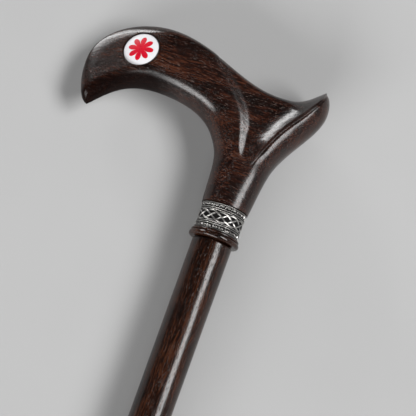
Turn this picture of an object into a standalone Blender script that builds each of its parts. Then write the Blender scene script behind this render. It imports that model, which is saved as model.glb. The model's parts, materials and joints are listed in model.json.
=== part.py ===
"""Walking cane: carved wooden handle, cast collar, tapered wooden shaft and rubber tip.

Each piece is modelled in the cane's own frame, which an empty carries: +X runs from the rubber tip
to the handle, +Y to the handle's nose and +Z out of the flank with the badge. X is zero at the
neck's end face, where the handle meets the collar. At the end the cane is laid on its other flank,
the way it comes to rest on a table. All lengths are in metres.
"""
import math

import bmesh
import bpy
import numpy as np
from mathutils import Matrix, Vector

CANE_NAME = "walking_cane"

# Cane as a whole
CANE_LENGTH = 0.920
FIT_GAP = 0.0003
ROUND_STEPS = 40
SHARP_ANGLE = math.radians(40)
MERGE_DISTANCE = 0.000005

# Joint from the inside out: stud, threaded bushes, tenons, collar, neck, wooden ring
STUD_RADIUS = 0.0040
STUD_LENGTH = 0.0640
STUD_CHAMFER = 0.0008
BUSH_WALL = 0.0020
BUSH_LENGTH = 0.0180
BUSH_FLANGE = 0.0012
BUSH_FLANGE_LIP = 0.0014
TENON_WALL = 0.0015
TENON_LENGTH = 0.0070
TENON_ROOT = 0.0065
COLLAR_WALL = 0.0031
COLLAR_LENGTH = 0.0146
COLLAR_BORDER = 0.0030
COLLAR_LINE = 0.0003
COLLAR_LINES = 2
COLLAR_BAND_SINK = 0.0006
NECK_STEP = 0.0004
RING_OVERHANG = 0.0014
RING_SLIM_BEAD = 0.0013
RING_FULL_BEAD = 0.0029
RING_GROOVE = 0.0007
BEAD_ARC = math.radians(70)
BEAD_STEPS = 6

BUSH_RADIUS = STUD_RADIUS + BUSH_WALL
BUSH_FLANGE_RADIUS = BUSH_RADIUS + BUSH_FLANGE_LIP
TENON_RADIUS = BUSH_FLANGE_RADIUS + FIT_GAP + TENON_WALL
COLLAR_BORE = TENON_RADIUS + FIT_GAP
COLLAR_RADIUS = COLLAR_BORE + COLLAR_WALL
NECK_RADIUS = COLLAR_RADIUS + NECK_STEP
RING_RADIUS = COLLAR_RADIUS + RING_OVERHANG
RING_LENGTH = RING_SLIM_BEAD + RING_FULL_BEAD

# Shaft
SHAFT_SHOULDER_WIDTH = 0.0018
SHAFT_TOP_RADIUS = TENON_RADIUS + SHAFT_SHOULDER_WIDTH
SHAFT_END_RADIUS = 0.0088
SHAFT_CHAMFER = 0.0008

# Rubber tip
TIP_WALL = 0.0036
TIP_FLOOR = 0.0120
TIP_FLARE = 0.0045
TIP_FLARE_HEIGHT = 0.0190
TIP_FLARE_STEPS = 5
TIP_FOOT_HEIGHT = 0.0060
TIP_PLAIN_HEIGHT = 0.0140
TIP_RIBS = 3
TIP_RIB_PITCH = 0.0040
TIP_RIB_LAND = 0.0008
TIP_RIB_SWELL = 0.0006
TIP_RIM_HEIGHT = 0.0050
TIP_RIM_BEVEL = 0.0016
TIP_RIM_SWELL = 0.0008
TIP_PAD_RADIUS = 0.0070
TIP_TREAD_WIDTH = 0.0025
TIP_TREAD_DEPTH = 0.0012
WASHER_THICKNESS = 0.0016

TIP_SOCKET_RADIUS = SHAFT_END_RADIUS + FIT_GAP
TIP_SLEEVE_RADIUS = TIP_SOCKET_RADIUS + TIP_WALL
TIP_FOOT_RADIUS = TIP_SLEEVE_RADIUS + TIP_FLARE
TIP_HEIGHT = TIP_FLARE_HEIGHT + TIP_PLAIN_HEIGHT + TIP_RIBS * TIP_RIB_PITCH + TIP_RIM_HEIGHT

# Handle in side view: (forward, height) from the point where the cane's axis leaves the neck
NOSE_TIP = (0.0893, 0.0285)
NOSE_REACH = 0.0982
NOSE_REACH_HEIGHT = 0.0525
CROWN_FORWARD = 0.0585
CROWN_HEIGHT = 0.0826
SADDLE_HEIGHT = 0.0676
TAIL_TIP = (-0.0307, 0.0795)
TAIL_REACH = 0.0354

# Handle outline, knot by knot: forward, height, heading in degrees, reach before and after
TOP_LINE = (
    (*NOSE_TIP, 10, 0.0, 0.0045),
    (NOSE_REACH, NOSE_REACH_HEIGHT, 91, 0.0130, 0.0165),
    (CROWN_FORWARD, CROWN_HEIGHT, 180, 0.0220, 0.0280),
    (-0.0065, SADDLE_HEIGHT, 180, 0.0230, 0.0135),
    (*TAIL_TIP, 141, 0.0095, 0.0),
)
UNDER_LINE = (
    (*NOSE_TIP, 132, 0.0, 0.0135),
    (0.0540, 0.0483, 180, 0.0190, 0.0160),
    (0.0213, 0.0367, 232, 0.0100, 0.0110),
    (0.0138, 0.0135, 266, 0.0100, 0.0050),
    (NECK_RADIUS, 0.0, 265, 0.0040, 0.0),
)
CREST_LINE = (
    (*TAIL_TIP, 275, 0.0, 0.0050),
    (-0.0225, 0.0613, 303, 0.0080, 0.0070),
    (-0.0110, 0.0425, 294, 0.0080, 0.0070),
    (-0.0042, 0.0240, 284, 0.0070, 0.0080),
    (-0.0030, 0.0, 270, 0.0080, 0.0),
)
BACK_LINE = (
    (*TAIL_TIP, 215, 0.0, 0.0030),
    (-TAIL_REACH, 0.0675, 271, 0.0070, 0.0070),
    (-0.0263, 0.0463, 301, 0.0070, 0.0075),
    (-0.0163, 0.0245, 282, 0.0080, 0.0080),
    (-NECK_RADIUS, 0.0, 278, 0.0080, 0.0),
)
HOLLOW_LINE = (
    (0.0300, 0.0740, 230, 0.0, 0.0080),
    (0.0088, 0.0515, 238, 0.0100, 0.0080),
    (0.0010, 0.0200, 268, 0.0100, 0.0),
)
# Share of the under line, from the nose, at which the rib to each knot of top and crest starts
RIB_ROOTS = (0.0, 0.19, 0.46, 0.700, 0.752, 0.785, 0.835, 0.905, 1.0)
TOP_RIBS = (5, 9, 10, 7)
CREST_RIBS = (6, 5, 4, 4)
FRONT_STEPS = 15
BACK_STEPS = 8
LINE_STEPS = (24, 24, 24, 24)

# Handle's half thickness and the way it is carved
FLANK_HALF = 0.0145
NOSE_HALF = 0.0010
NOSE_START = 0.0565
NOSE_EASE = 0.0150
NOSE_SLOPE = 0.42
NOSE_SLANT = 0.42
CREST_RISE = 0.0063
CREST_FADE = (0.016, 0.040)
SCOOP_WIDTH = 0.0130
SCOOP_POWER = 2.0
HOLLOW_DEPTH = 0.0020
HOLLOW_BLEND = 0.0035
HOLLOW_FADE = (0.020, 0.034)
BACK_HALF = 0.0138
BACK_RISE = 0.0016
BACK_EDGE = (0.0105, 0.0150)
BACK_EDGE_GROWTH = (0.028, 0.052)
GROOVE_WIDTH = 0.0006
GROOVE_SPREAD = 0.0050
GROOVE_START = (0.020, 0.034)
TOP_EDGE = (0.0070, 0.0045, 0.0120)
UNDER_EDGE = (0.0080, 0.0130)
EDGE_POWER = 2.0
NOSE_POWER = 4.0
BEAK_POWER = 1.3
NOSE_SPAN = (0.035, 0.085)
TAIL_SPAN = (-0.024, -0.010)
NECK_BLEND = (0.008, 0.034)
NECK_POWER = 2.5
LEAST_SHARE = 0.000001

# Badge in the handle's flank
BADGE_FORWARD = 0.0720
BADGE_HEIGHT = 0.0650
BADGE_RADIUS = 0.01025
BADGE_SINK = 0.0009
BEZEL_WALL = 0.00045
BEZEL_FLOOR = 0.0005
DISC_EDGE = 0.0007
DISC_DOME = 0.0009
DOME_RINGS = 6
ROSETTE_MARGIN = 0.0025
ROSETTE_PETALS = 8
PETAL_LENGTH = 0.0046
PETAL_BLUNTNESS = 0.6
PETAL_STEPS = 8
ROSETTE_DEPTH = 0.0006
SLOPE_STEP = 0.0004

DISC_RADIUS = BADGE_RADIUS - BEZEL_WALL - FIT_GAP
ROSETTE_RADIUS = DISC_RADIUS - ROSETTE_MARGIN

# Places along the cane's axis, each worked out from the piece before it
TENON_END = -TENON_LENGTH
COLLAR_TOP = -FIT_GAP
COLLAR_END = COLLAR_TOP - COLLAR_LENGTH
RING_TOP = COLLAR_END - FIT_GAP
RING_END = RING_TOP - RING_LENGTH
SHAFT_SHOULDER = RING_END - FIT_GAP
SHAFT_TOP = TENON_END - FIT_GAP
GROUND = CROWN_HEIGHT - CANE_LENGTH
TIP_TOP = GROUND + TIP_HEIGHT
WASHER_END = GROUND + TIP_FLOOR + FIT_GAP
SHAFT_END = WASHER_END + WASHER_THICKNESS + FIT_GAP

# Rounds of tipping and rolling after which the cane lies still
SETTLE_ROUNDS = 12


def clear_scene():
    """Remove whatever the open file holds."""
    for found in list(bpy.data.objects):
        bpy.data.objects.remove(found, do_unlink=True)


def new_collection(name):
    made = bpy.data.collections.new(name)
    bpy.context.scene.collection.children.link(made)
    return made


def new_material(name, color, roughness, metallic=0.0):
    made = bpy.data.materials.new(name)
    made.use_nodes = True
    shader = made.node_tree.nodes["Principled BSDF"]
    shader.inputs["Base Color"].default_value = (*color, 1.0)
    shader.inputs["Roughness"].default_value = roughness
    shader.inputs["Metallic"].default_value = metallic
    made.diffuse_color = (*color, 1.0)
    return made


def new_object(name, mesh, collection, parent, material=None):
    made = bpy.data.objects.new(name, mesh)
    collection.objects.link(made)
    made.parent = parent
    if material:
        mesh.materials.append(material)
    return made


def mesh_from(name, points, edges=(), faces=()):
    made = bpy.data.meshes.new(name)
    made.from_pydata([tuple(map(float, point)) for point in points], edges, faces)
    return made


def shade_round(mesh):
    mesh.shade_smooth()
    mesh.set_sharp_from_angle(angle=SHARP_ANGLE)


def along_axis(place):
    """Matrix that stands a piece turned about local Z on the cane's axis, at a place along it."""
    return Matrix.Translation((place, 0, 0)) @ Matrix.Rotation(math.radians(90), 4, "Y")


def turned(name, profile, closed, collection, parent, material, place=0.0):
    """Solid of revolution; the profile of (radius, height) runs down its outer side."""
    count = len(profile)
    edges = [(i, i + 1) for i in range(count - 1)]
    if closed:
        edges.append((count - 1, 0))
    mesh = mesh_from(name, [(radius, 0, height) for radius, height in profile], edges)
    made = new_object(name, mesh, collection, parent, material)
    made.matrix_local = along_axis(place)
    screw = made.modifiers.new("turn", "SCREW")
    screw.axis = "Z"
    screw.steps = ROUND_STEPS
    screw.render_steps = ROUND_STEPS
    screw.use_merge_vertices = True
    screw.merge_threshold = MERGE_DISTANCE
    screw.use_smooth_shade = True
    return made


def cut(target, cutter, operation="DIFFERENCE"):
    boolean = target.modifiers.new(f"{operation.lower()}_{cutter.name}", "BOOLEAN")
    boolean.operation = operation
    boolean.object = cutter
    boolean.solver = "EXACT"


def as_cutter(made):
    made.hide_render = True
    made.display_type = "WIRE"
    return made


def peg(name, radius, low, high, collection, parent, place=None):
    """Cylinder along local Z from low to high, stood on the cane's axis or at a given place."""
    mesh = bpy.data.meshes.new(name)
    shape = bmesh.new()
    bmesh.ops.create_cone(
        shape,
        cap_ends=True,
        segments=ROUND_STEPS,
        radius1=radius,
        radius2=radius,
        depth=high - low,
        matrix=Matrix.Translation((0, 0, (low + high) / 2)),
    )
    shape.to_mesh(mesh)
    shape.free()
    made = new_object(name, mesh, collection, parent)
    made.matrix_local = along_axis(0.0) if place is None else place
    return made


def curve_points(knots, steps):
    """Points along the cubic curves between knots, with a number of steps for each curve."""
    points = []
    for first, second, count in zip(knots[:-1], knots[1:], steps, strict=True):
        y0, x0, heading0, _, after = first
        y1, x1, heading1, before, _ = second
        start = Vector((y0, x0))
        end = Vector((y1, x1))
        leave = Vector((math.cos(math.radians(heading0)), math.sin(math.radians(heading0)))) * after
        arrive = Vector((math.cos(math.radians(heading1)), math.sin(math.radians(heading1)))) * before
        for step in range(count):
            t = step / count
            point = (1 - t) ** 3 * start
            point += 3 * (1 - t) ** 2 * t * (start + leave)
            point += 3 * (1 - t) * t ** 2 * (end - arrive)
            point += t ** 3 * end
            points.append(point)
    points.append(Vector(knots[-1][:2]))
    return np.array(points)


def gap_to(points, line):
    """Distance from each point to a line, and the side of the line it lies on."""
    start = line[:-1]
    span = np.diff(line, axis=0)
    away = points[:, None] - start
    share = np.clip((away * span).sum(2) / (span ** 2).sum(1), 0, 1)
    gap = np.linalg.norm(away - share[..., None] * span, axis=2)
    nearest = gap.argmin(1)
    rows = np.arange(len(points))
    to_point = away[rows, nearest]
    along = span[nearest]
    side = np.sign(along[:, 1] * to_point[:, 0] - along[:, 0] * to_point[:, 1])
    return gap[rows, nearest], side


def smooth_step(low, high, value):
    t = np.clip((value - low) / (high - low), 0, 1)
    return t * t * (3 - 2 * t)


def rounded_edge(distance, width, inner=EDGE_POWER, outer=EDGE_POWER):
    """Share of the full half thickness at a distance from an edge; powers of 2 make an ellipse."""
    return (1 - (1 - np.clip(distance / width, 0, 1)) ** inner) ** (1 / outer)


TOP = curve_points(TOP_LINE, LINE_STEPS)
UNDER = curve_points(UNDER_LINE, LINE_STEPS)
CREST = curve_points(CREST_LINE, LINE_STEPS)
BACK = curve_points(BACK_LINE, LINE_STEPS)
HOLLOW = curve_points(HOLLOW_LINE, LINE_STEPS[:2])


def neck_half(points):
    """Half thickness of the neck, whose section is an oval with slightly flattened flanks."""
    height = points[:, 1]
    under = UNDER[len(UNDER) // 2:][::-1]
    back = BACK[len(BACK) // 2:][::-1]
    front_edge = np.interp(height, under[:, 1], under[:, 0])
    back_edge = np.interp(height, back[:, 1], back[:, 0])
    middle = (front_edge + back_edge) / 2
    across = (points[:, 0] - middle) / ((front_edge - back_edge) / 2)
    return NECK_RADIUS * np.maximum(1 - np.abs(across) ** NECK_POWER, 0) ** (1 / NECK_POWER)


def blend_to_neck(points, carved):
    share = smooth_step(*NECK_BLEND, points[:, 1])
    return carved * share + neck_half(points) * (1 - share)


def front_half(points):
    """Half thickness in front of the crest, from the beak to the scoop."""
    forward = points[:, 0]
    height = points[:, 1]
    toward_nose = smooth_step(*NOSE_SPAN, forward)
    toward_tail = 1 - smooth_step(*TAIL_SPAN, forward)
    slanted = forward + NOSE_SLANT * (height - BADGE_HEIGHT) - NOSE_START
    eased = np.clip(slanted, 0, NOSE_EASE)
    drop = NOSE_SLOPE * (eased ** 2 / (2 * NOSE_EASE) + np.maximum(slanted - NOSE_EASE, 0))
    flank = np.maximum(FLANK_HALF - drop, NOSE_HALF)
    gap, side = gap_to(points, HOLLOW)
    hollow = HOLLOW_DEPTH * smooth_step(-HOLLOW_BLEND, HOLLOW_BLEND, gap * side)
    crest, _ = gap_to(points, CREST)
    grown = np.maximum(smooth_step(*CREST_FADE, height), LEAST_SHARE)
    scoop = CREST_RISE * grown * np.clip(1 - crest / (SCOOP_WIDTH * grown), 0, 1) ** SCOOP_POWER
    flank += scoop - hollow * smooth_step(*HOLLOW_FADE, height)
    nose_edge, crown_edge, tail_edge = TOP_EDGE
    top_edge = crown_edge + (nose_edge - crown_edge) * toward_nose + (tail_edge - crown_edge) * toward_tail
    beak_edge, grip_edge = UNDER_EDGE
    under_edge = grip_edge + (beak_edge - grip_edge) * toward_nose
    top_power = EDGE_POWER + (NOSE_POWER - EDGE_POWER) * toward_nose
    under_power = EDGE_POWER + (BEAK_POWER - EDGE_POWER) * toward_nose
    top, _ = gap_to(points, TOP)
    under, _ = gap_to(points, UNDER)
    edges = rounded_edge(top, top_edge, outer=top_power)
    edges *= rounded_edge(under, under_edge, under_power, under_power)
    return blend_to_neck(points, flank * edges)


def back_half(points):
    """Half thickness behind the crest, without the crest itself."""
    height = points[:, 1]
    back, _ = gap_to(points, BACK)
    low_edge, tail_edge = BACK_EDGE
    edge = low_edge + (tail_edge - low_edge) * smooth_step(*BACK_EDGE_GROWTH, height)
    flank = BACK_HALF + BACK_RISE * smooth_step(*CREST_FADE, height)
    return blend_to_neck(points, flank * rounded_edge(back, edge))


def badge_place():
    """Where the badge's rim plane lies on the flank, with local Z along the surface's normal."""
    spot = np.array((BADGE_FORWARD, BADGE_HEIGHT))
    half = front_half(spot + SLOPE_STEP * np.array(((0, 0), (1, 0), (-1, 0), (0, 1), (0, -1))))
    slope_forward = (half[1] - half[2]) / (2 * SLOPE_STEP)
    slope_height = (half[3] - half[4]) / (2 * SLOPE_STEP)
    normal = Vector((-slope_height, -slope_forward, 1)).normalized()
    place = Vector((BADGE_HEIGHT, BADGE_FORWARD, half[0])) - normal * BADGE_SINK
    side = Vector((0, 1, 0)).cross(normal).normalized()
    turn = Matrix((side, normal.cross(side), normal)).transposed()
    return Matrix.Translation(place) @ turn.to_4x4()


def handle_half_mesh():
    """One flank of the handle, open at the middle plane, as a strip of ribs from line to line."""
    crest = curve_points(CREST_LINE, CREST_RIBS)[1:]
    outer = np.vstack((curve_points(TOP_LINE, TOP_RIBS), crest))
    knot_ribs = np.cumsum((0, *TOP_RIBS, *CREST_RIBS))
    share = np.interp(range(len(outer)), knot_ribs, RIB_ROOTS)
    run = np.concatenate(((0,), np.cumsum(np.linalg.norm(np.diff(UNDER, axis=0), axis=1))))
    root = np.stack([np.interp(share * run[-1], run, UNDER[:, axis]) for axis in (0, 1)], 1)

    # front leaf: crowded towards both ends of each rib, where the surface turns over
    t = (1 - np.cos(np.linspace(0, math.pi, FRONT_STEPS + 1))) / 2
    front = root[1:, None] + (outer - root)[1:, None] * t[None, :, None]
    tail_rib = sum(TOP_RIBS) - 1
    front_z = front_half(front.reshape(-1, 2)).reshape(front.shape[:2])
    front_z[:, 0] = 0
    front_z[:tail_rib + 1, -1] = 0

    # back leaf: from the crest to the handle's back
    back_edge = curve_points(BACK_LINE, CREST_RIBS)[1:]
    u = (1 - np.cos(np.linspace(0, math.pi, BACK_STEPS + 1))) / 2
    back = crest[:, None] + (back_edge - crest)[:, None] * u[None, :, None]
    crest_z = front_z[tail_rib + 1:, -1]
    wall = crest_z - back_half(crest)
    gap, _ = gap_to(back.reshape(-1, 2), CREST)
    gap = gap.reshape(back.shape[:2])
    crisp = smooth_step(*GROOVE_START, crest[:, 1])[:, None]
    fade = np.exp(-(gap / (GROOVE_SPREAD + (GROOVE_WIDTH - GROOVE_SPREAD) * crisp)) ** 1.5)
    back_z = back_half(back.reshape(-1, 2)).reshape(back.shape[:2]) + wall[:, None] * fade
    back_z[:, 0] = crest_z
    back_z[:, -1] = 0

    points = [(NOSE_TIP[1], NOSE_TIP[0], 0)]
    rows = []
    for grid, half in ((front, front_z), (back, back_z)):
        for line, heights in zip(grid, half):
            rows.append(range(len(points), len(points) + len(line)))
            points += [(height, forward, z) for (forward, height), z in zip(line, heights)]
    front_rows = rows[:len(front)]
    back_rows = rows[len(front):]
    tail = front_rows[tail_rib][-1]
    faces = [(0, front_rows[0][i + 1], front_rows[0][i]) for i in range(FRONT_STEPS)]
    faces += [(tail, back_rows[0][i + 1], back_rows[0][i]) for i in range(BACK_STEPS)]
    for strip in (front_rows, back_rows):
        for low, high in zip(strip, strip[1:]):
            faces += [(low[i], low[i + 1], high[i + 1], high[i]) for i in range(len(low) - 1)]
    faces.append((*front_rows[-1], *back_rows[-1][1:]))
    mesh = mesh_from("handle", points, faces=faces)

    shape = bmesh.new()
    shape.from_mesh(mesh)
    bmesh.ops.remove_doubles(shape, verts=shape.verts, dist=MERGE_DISTANCE)
    bmesh.ops.recalc_face_normals(shape, faces=shape.faces)
    shape.to_mesh(mesh)
    shape.free()
    return mesh


def make_handle(parts, cutters, cane, material):
    """Carved handle with a tenon below its neck, bored for the bush and stud, cut for the badge."""
    mesh = handle_half_mesh()
    shade_round(mesh)
    handle = new_object("handle", mesh, parts, cane, material)
    mirror = handle.modifiers.new("far_flank", "MIRROR")
    mirror.use_axis = (False, False, True)
    mirror.use_clip = True
    mirror.merge_threshold = MERGE_DISTANCE
    tenon = as_cutter(peg("handle_tenon", TENON_RADIUS, TENON_END, TENON_ROOT, cutters, cane))
    cut(handle, tenon, "UNION")
    bush_top = TENON_END + BUSH_LENGTH + FIT_GAP
    stud_top = TENON_END + STUD_LENGTH / 2 + FIT_GAP
    bores = (
        ("handle_flange_bore", BUSH_FLANGE_RADIUS, TENON_END + BUSH_FLANGE),
        ("handle_bush_bore", BUSH_RADIUS, bush_top),
        ("handle_stud_bore", STUD_RADIUS, stud_top),
    )
    for name, radius, top in bores:
        cut(handle, as_cutter(peg(name, radius + FIT_GAP, TENON_END - FIT_GAP, top, cutters, cane)))
    depth = DISC_EDGE + BEZEL_FLOOR + 2 * FIT_GAP
    pocket = peg("badge_pocket", BADGE_RADIUS + FIT_GAP, -depth, BADGE_RADIUS, cutters, cane, badge_place())
    cut(handle, as_cutter(pocket))


def dome_height(radius):
    """Height of the enamel dome over the rim plane, at a distance from its centre."""
    sphere = (DISC_RADIUS ** 2 + DISC_DOME ** 2) / (2 * DISC_DOME)
    return math.sqrt(sphere ** 2 - radius ** 2) - (sphere - DISC_DOME)


def disc_profile():
    arc = [DISC_RADIUS * step / DOME_RINGS for step in range(DOME_RINGS + 1)]
    dome = [(radius, dome_height(radius)) for radius in arc]
    return dome + [(DISC_RADIUS, -DISC_EDGE), (0, -DISC_EDGE)]


def rosette_curve(name, grow, low, high, collection, parent):
    """Flat outline with round petals, grown by a clearance and extruded from low to high."""
    curve = bpy.data.curves.new(name, "CURVE")
    curve.dimensions = "2D"
    curve.fill_mode = "BOTH"
    curve.extrude = (high - low) / 2
    count = ROSETTE_PETALS * PETAL_STEPS
    spline = curve.splines.new("POLY")
    spline.points.add(count - 1)
    spline.use_cyclic_u = True
    for step, point in enumerate(spline.points):
        angle = 2 * math.pi * step / count
        petal = abs(math.cos(ROSETTE_PETALS * angle / 2)) ** PETAL_BLUNTNESS
        radius = ROSETTE_RADIUS - PETAL_LENGTH * (1 - petal) + grow
        point.co = (radius * math.cos(angle), radius * math.sin(angle), 0, 1)
    drawn = bpy.data.objects.new(name, curve)
    collection.objects.link(drawn)
    depsgraph = bpy.context.evaluated_depsgraph_get()
    mesh = bpy.data.meshes.new_from_object(drawn.evaluated_get(depsgraph))
    bpy.data.objects.remove(drawn)
    shape = bmesh.new()
    shape.from_mesh(mesh)
    bmesh.ops.remove_doubles(shape, verts=shape.verts, dist=MERGE_DISTANCE)
    bmesh.ops.translate(shape, verts=shape.verts, vec=(0, 0, (low + high) / 2))
    bmesh.ops.recalc_face_normals(shape, faces=shape.faces)
    shape.to_mesh(mesh)
    shape.free()
    made = new_object(name, mesh, collection, parent)
    made.matrix_local = badge_place()
    return made


def make_badge(parts, cutters, cane, metal, enamel, red):
    """Dark bezel cup, domed enamel disc and the rosette let into the disc."""
    place = badge_place()
    inner = BADGE_RADIUS - BEZEL_WALL
    floor = -DISC_EDGE - FIT_GAP
    cup = [
        (0, floor),
        (inner, floor),
        (inner, 0),
        (BADGE_RADIUS, 0),
        (BADGE_RADIUS, floor - BEZEL_FLOOR),
        (0, floor - BEZEL_FLOOR),
    ]
    bezel = turned("badge_bezel", cup, False, parts, cane, metal)
    bezel.matrix_local = place
    disc = turned("badge_disc", disc_profile(), False, parts, cane, enamel)
    disc.matrix_local = place
    above = 2 * DISC_DOME
    cell_floor = dome_height(ROSETTE_RADIUS) - ROSETTE_DEPTH
    cell = rosette_curve("rosette_cell", FIT_GAP, cell_floor - FIT_GAP, above, cutters, cane)
    cut(disc, as_cutter(cell))
    dome = turned("rosette_dome", disc_profile(), False, cutters, cane, None)
    dome.matrix_local = place
    rosette = rosette_curve("badge_rosette", 0.0, cell_floor, above, parts, cane)
    rosette.data.materials.append(red)
    cut(rosette, as_cutter(dome), "INTERSECT")


def collar_profile():
    """Sleeve with a plain border at both ends, raised lines inside each, and a sunk band."""
    rim = COLLAR_RADIUS
    floor = COLLAR_RADIUS - COLLAR_BAND_SINK
    upper = [(COLLAR_BORE, 0), (rim - COLLAR_LINE, 0), (rim, -COLLAR_LINE)]
    upper += [(rim, -COLLAR_BORDER + COLLAR_LINE), (floor, -COLLAR_BORDER)]
    place = -COLLAR_BORDER
    for _ in range(COLLAR_LINES):
        upper += [(rim, place - COLLAR_LINE), (floor, place - 2 * COLLAR_LINE)]
        place -= 2 * COLLAR_LINE
    lower = [(radius, -COLLAR_LENGTH - height) for radius, height in reversed(upper)]
    return upper + lower


def make_ring(parts, cane, material):
    """Turned wooden ring: a slim bead over a full one, with a groove between them."""
    slim = RING_SLIM_BEAD
    profile = [(COLLAR_BORE, 0), (RING_RADIUS - 3 * RING_GROOVE, 0)]
    profile += [(RING_RADIUS - RING_GROOVE, -slim / 2), (RING_RADIUS - 2 * RING_GROOVE, -slim)]
    bead = RING_FULL_BEAD / 2
    for step in range(BEAD_STEPS + 1):
        angle = BEAD_ARC - 2 * BEAD_ARC * step / BEAD_STEPS
        profile.append((RING_RADIUS - bead + bead * math.cos(angle), -slim - bead + bead * math.sin(angle)))
    profile += [(SHAFT_TOP_RADIUS, -RING_LENGTH), (COLLAR_BORE, -RING_LENGTH)]
    turned("collar_ring", profile, True, parts, cane, material, RING_TOP)


def make_stud(parts, cane, material):
    half = STUD_LENGTH / 2
    neck = STUD_RADIUS - STUD_CHAMFER
    profile = [(0, half), (neck, half), (STUD_RADIUS, half - STUD_CHAMFER)]
    profile += [(radius, -height) for radius, height in reversed(profile)]
    turned("connecting_stud", profile, False, parts, cane, material, TENON_END - FIT_GAP / 2)


def make_bush(name, parts, cane, material, mouth, into_handle):
    """Flanged brass bush whose flange lies at the mouth of its bore, down the shaft or up the handle."""
    bore = STUD_RADIUS + FIT_GAP
    profile = [(bore, 0), (BUSH_FLANGE_RADIUS, 0), (BUSH_FLANGE_RADIUS, -BUSH_FLANGE + FIT_GAP)]
    profile += [(BUSH_RADIUS, -BUSH_FLANGE + FIT_GAP), (BUSH_RADIUS, -BUSH_LENGTH), (bore, -BUSH_LENGTH)]
    made = turned(name, profile, True, parts, cane, material, mouth)
    if into_handle:
        made.matrix_local = along_axis(mouth) @ Matrix.Rotation(math.pi, 4, "X")


def make_shaft(parts, cutters, cane, material):
    """Tapered stick with a tenon through the ring and collar, bored for the bush and stud."""
    profile = [
        (0, SHAFT_TOP),
        (TENON_RADIUS, SHAFT_TOP),
        (TENON_RADIUS, SHAFT_SHOULDER),
        (SHAFT_TOP_RADIUS - SHAFT_CHAMFER, SHAFT_SHOULDER),
        (SHAFT_TOP_RADIUS, SHAFT_SHOULDER - SHAFT_CHAMFER),
        (SHAFT_END_RADIUS, TIP_TOP),
        (SHAFT_END_RADIUS, SHAFT_END + SHAFT_CHAMFER),
        (SHAFT_END_RADIUS - SHAFT_CHAMFER, SHAFT_END),
        (0, SHAFT_END),
    ]
    shaft = turned("shaft", profile, False, parts, cane, material)
    bores = (
        ("shaft_flange_bore", BUSH_FLANGE_RADIUS, SHAFT_TOP - BUSH_FLANGE),
        ("shaft_bush_bore", BUSH_RADIUS, SHAFT_TOP - BUSH_LENGTH - FIT_GAP),
        ("shaft_stud_bore", STUD_RADIUS, SHAFT_TOP - STUD_LENGTH / 2 - FIT_GAP),
    )
    for name, radius, end in bores:
        cut(shaft, as_cutter(peg(name, radius + FIT_GAP, end, SHAFT_TOP + FIT_GAP, cutters, cane)))


def tip_profile():
    """Ferrule from the socket's floor over the rim, down the ribbed sleeve and flare to the foot."""
    sleeve = TIP_SLEEVE_RADIUS
    rim = sleeve + TIP_RIM_SWELL
    rib = sleeve + TIP_RIB_SWELL
    place = TIP_HEIGHT - TIP_RIM_HEIGHT
    profile = [(0, TIP_FLOOR), (TIP_SOCKET_RADIUS, TIP_FLOOR), (TIP_SOCKET_RADIUS, TIP_HEIGHT)]
    profile += [(sleeve, TIP_HEIGHT), (rim, TIP_HEIGHT - TIP_RIM_BEVEL)]
    profile += [(rim, place + TIP_RIM_BEVEL), (sleeve, place)]
    for _ in range(TIP_RIBS):
        place -= TIP_RIB_PITCH
        profile += [(sleeve, place + 3 * TIP_RIB_LAND), (rib, place + 2 * TIP_RIB_LAND)]
        profile += [(rib, place + TIP_RIB_LAND), (sleeve, place)]
    for step in range(TIP_FLARE_STEPS + 1):
        angle = math.pi / 2 * step / TIP_FLARE_STEPS
        radius = sleeve + TIP_FLARE * (1 - math.cos(angle))
        drop = (TIP_FLARE_HEIGHT - TIP_FOOT_HEIGHT) * math.sin(angle)
        profile.append((radius, TIP_FLARE_HEIGHT - drop))
    profile += [(TIP_FOOT_RADIUS, TIP_TREAD_DEPTH), (TIP_FOOT_RADIUS - TIP_TREAD_DEPTH, 0)]
    profile += [(TIP_PAD_RADIUS + TIP_TREAD_WIDTH, 0), (TIP_PAD_RADIUS + TIP_TREAD_WIDTH, TIP_TREAD_DEPTH)]
    profile += [(TIP_PAD_RADIUS, TIP_TREAD_DEPTH), (TIP_PAD_RADIUS, 0), (0, 0)]
    return profile


def make_tip(parts, cane, rubber, steel):
    """Rubber ferrule and the steel washer on its socket's floor."""
    turned("rubber_tip", tip_profile(), False, parts, cane, rubber, GROUND)
    washer = [(0, WASHER_THICKNESS), (SHAFT_END_RADIUS, WASHER_THICKNESS), (SHAFT_END_RADIUS, 0), (0, 0)]
    turned("tip_washer", washer, False, parts, cane, steel, WASHER_END)


def surface_points(parts):
    """All corners of the finished pieces in the cane's own frame."""
    depsgraph = bpy.context.evaluated_depsgraph_get()
    found = []
    for made in parts.objects:
        if made.type != "MESH":
            continue
        evaluated = made.evaluated_get(depsgraph)
        found += [tuple(evaluated.matrix_world @ corner.co) for corner in evaluated.data.vertices]
    return np.array(found)


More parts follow.
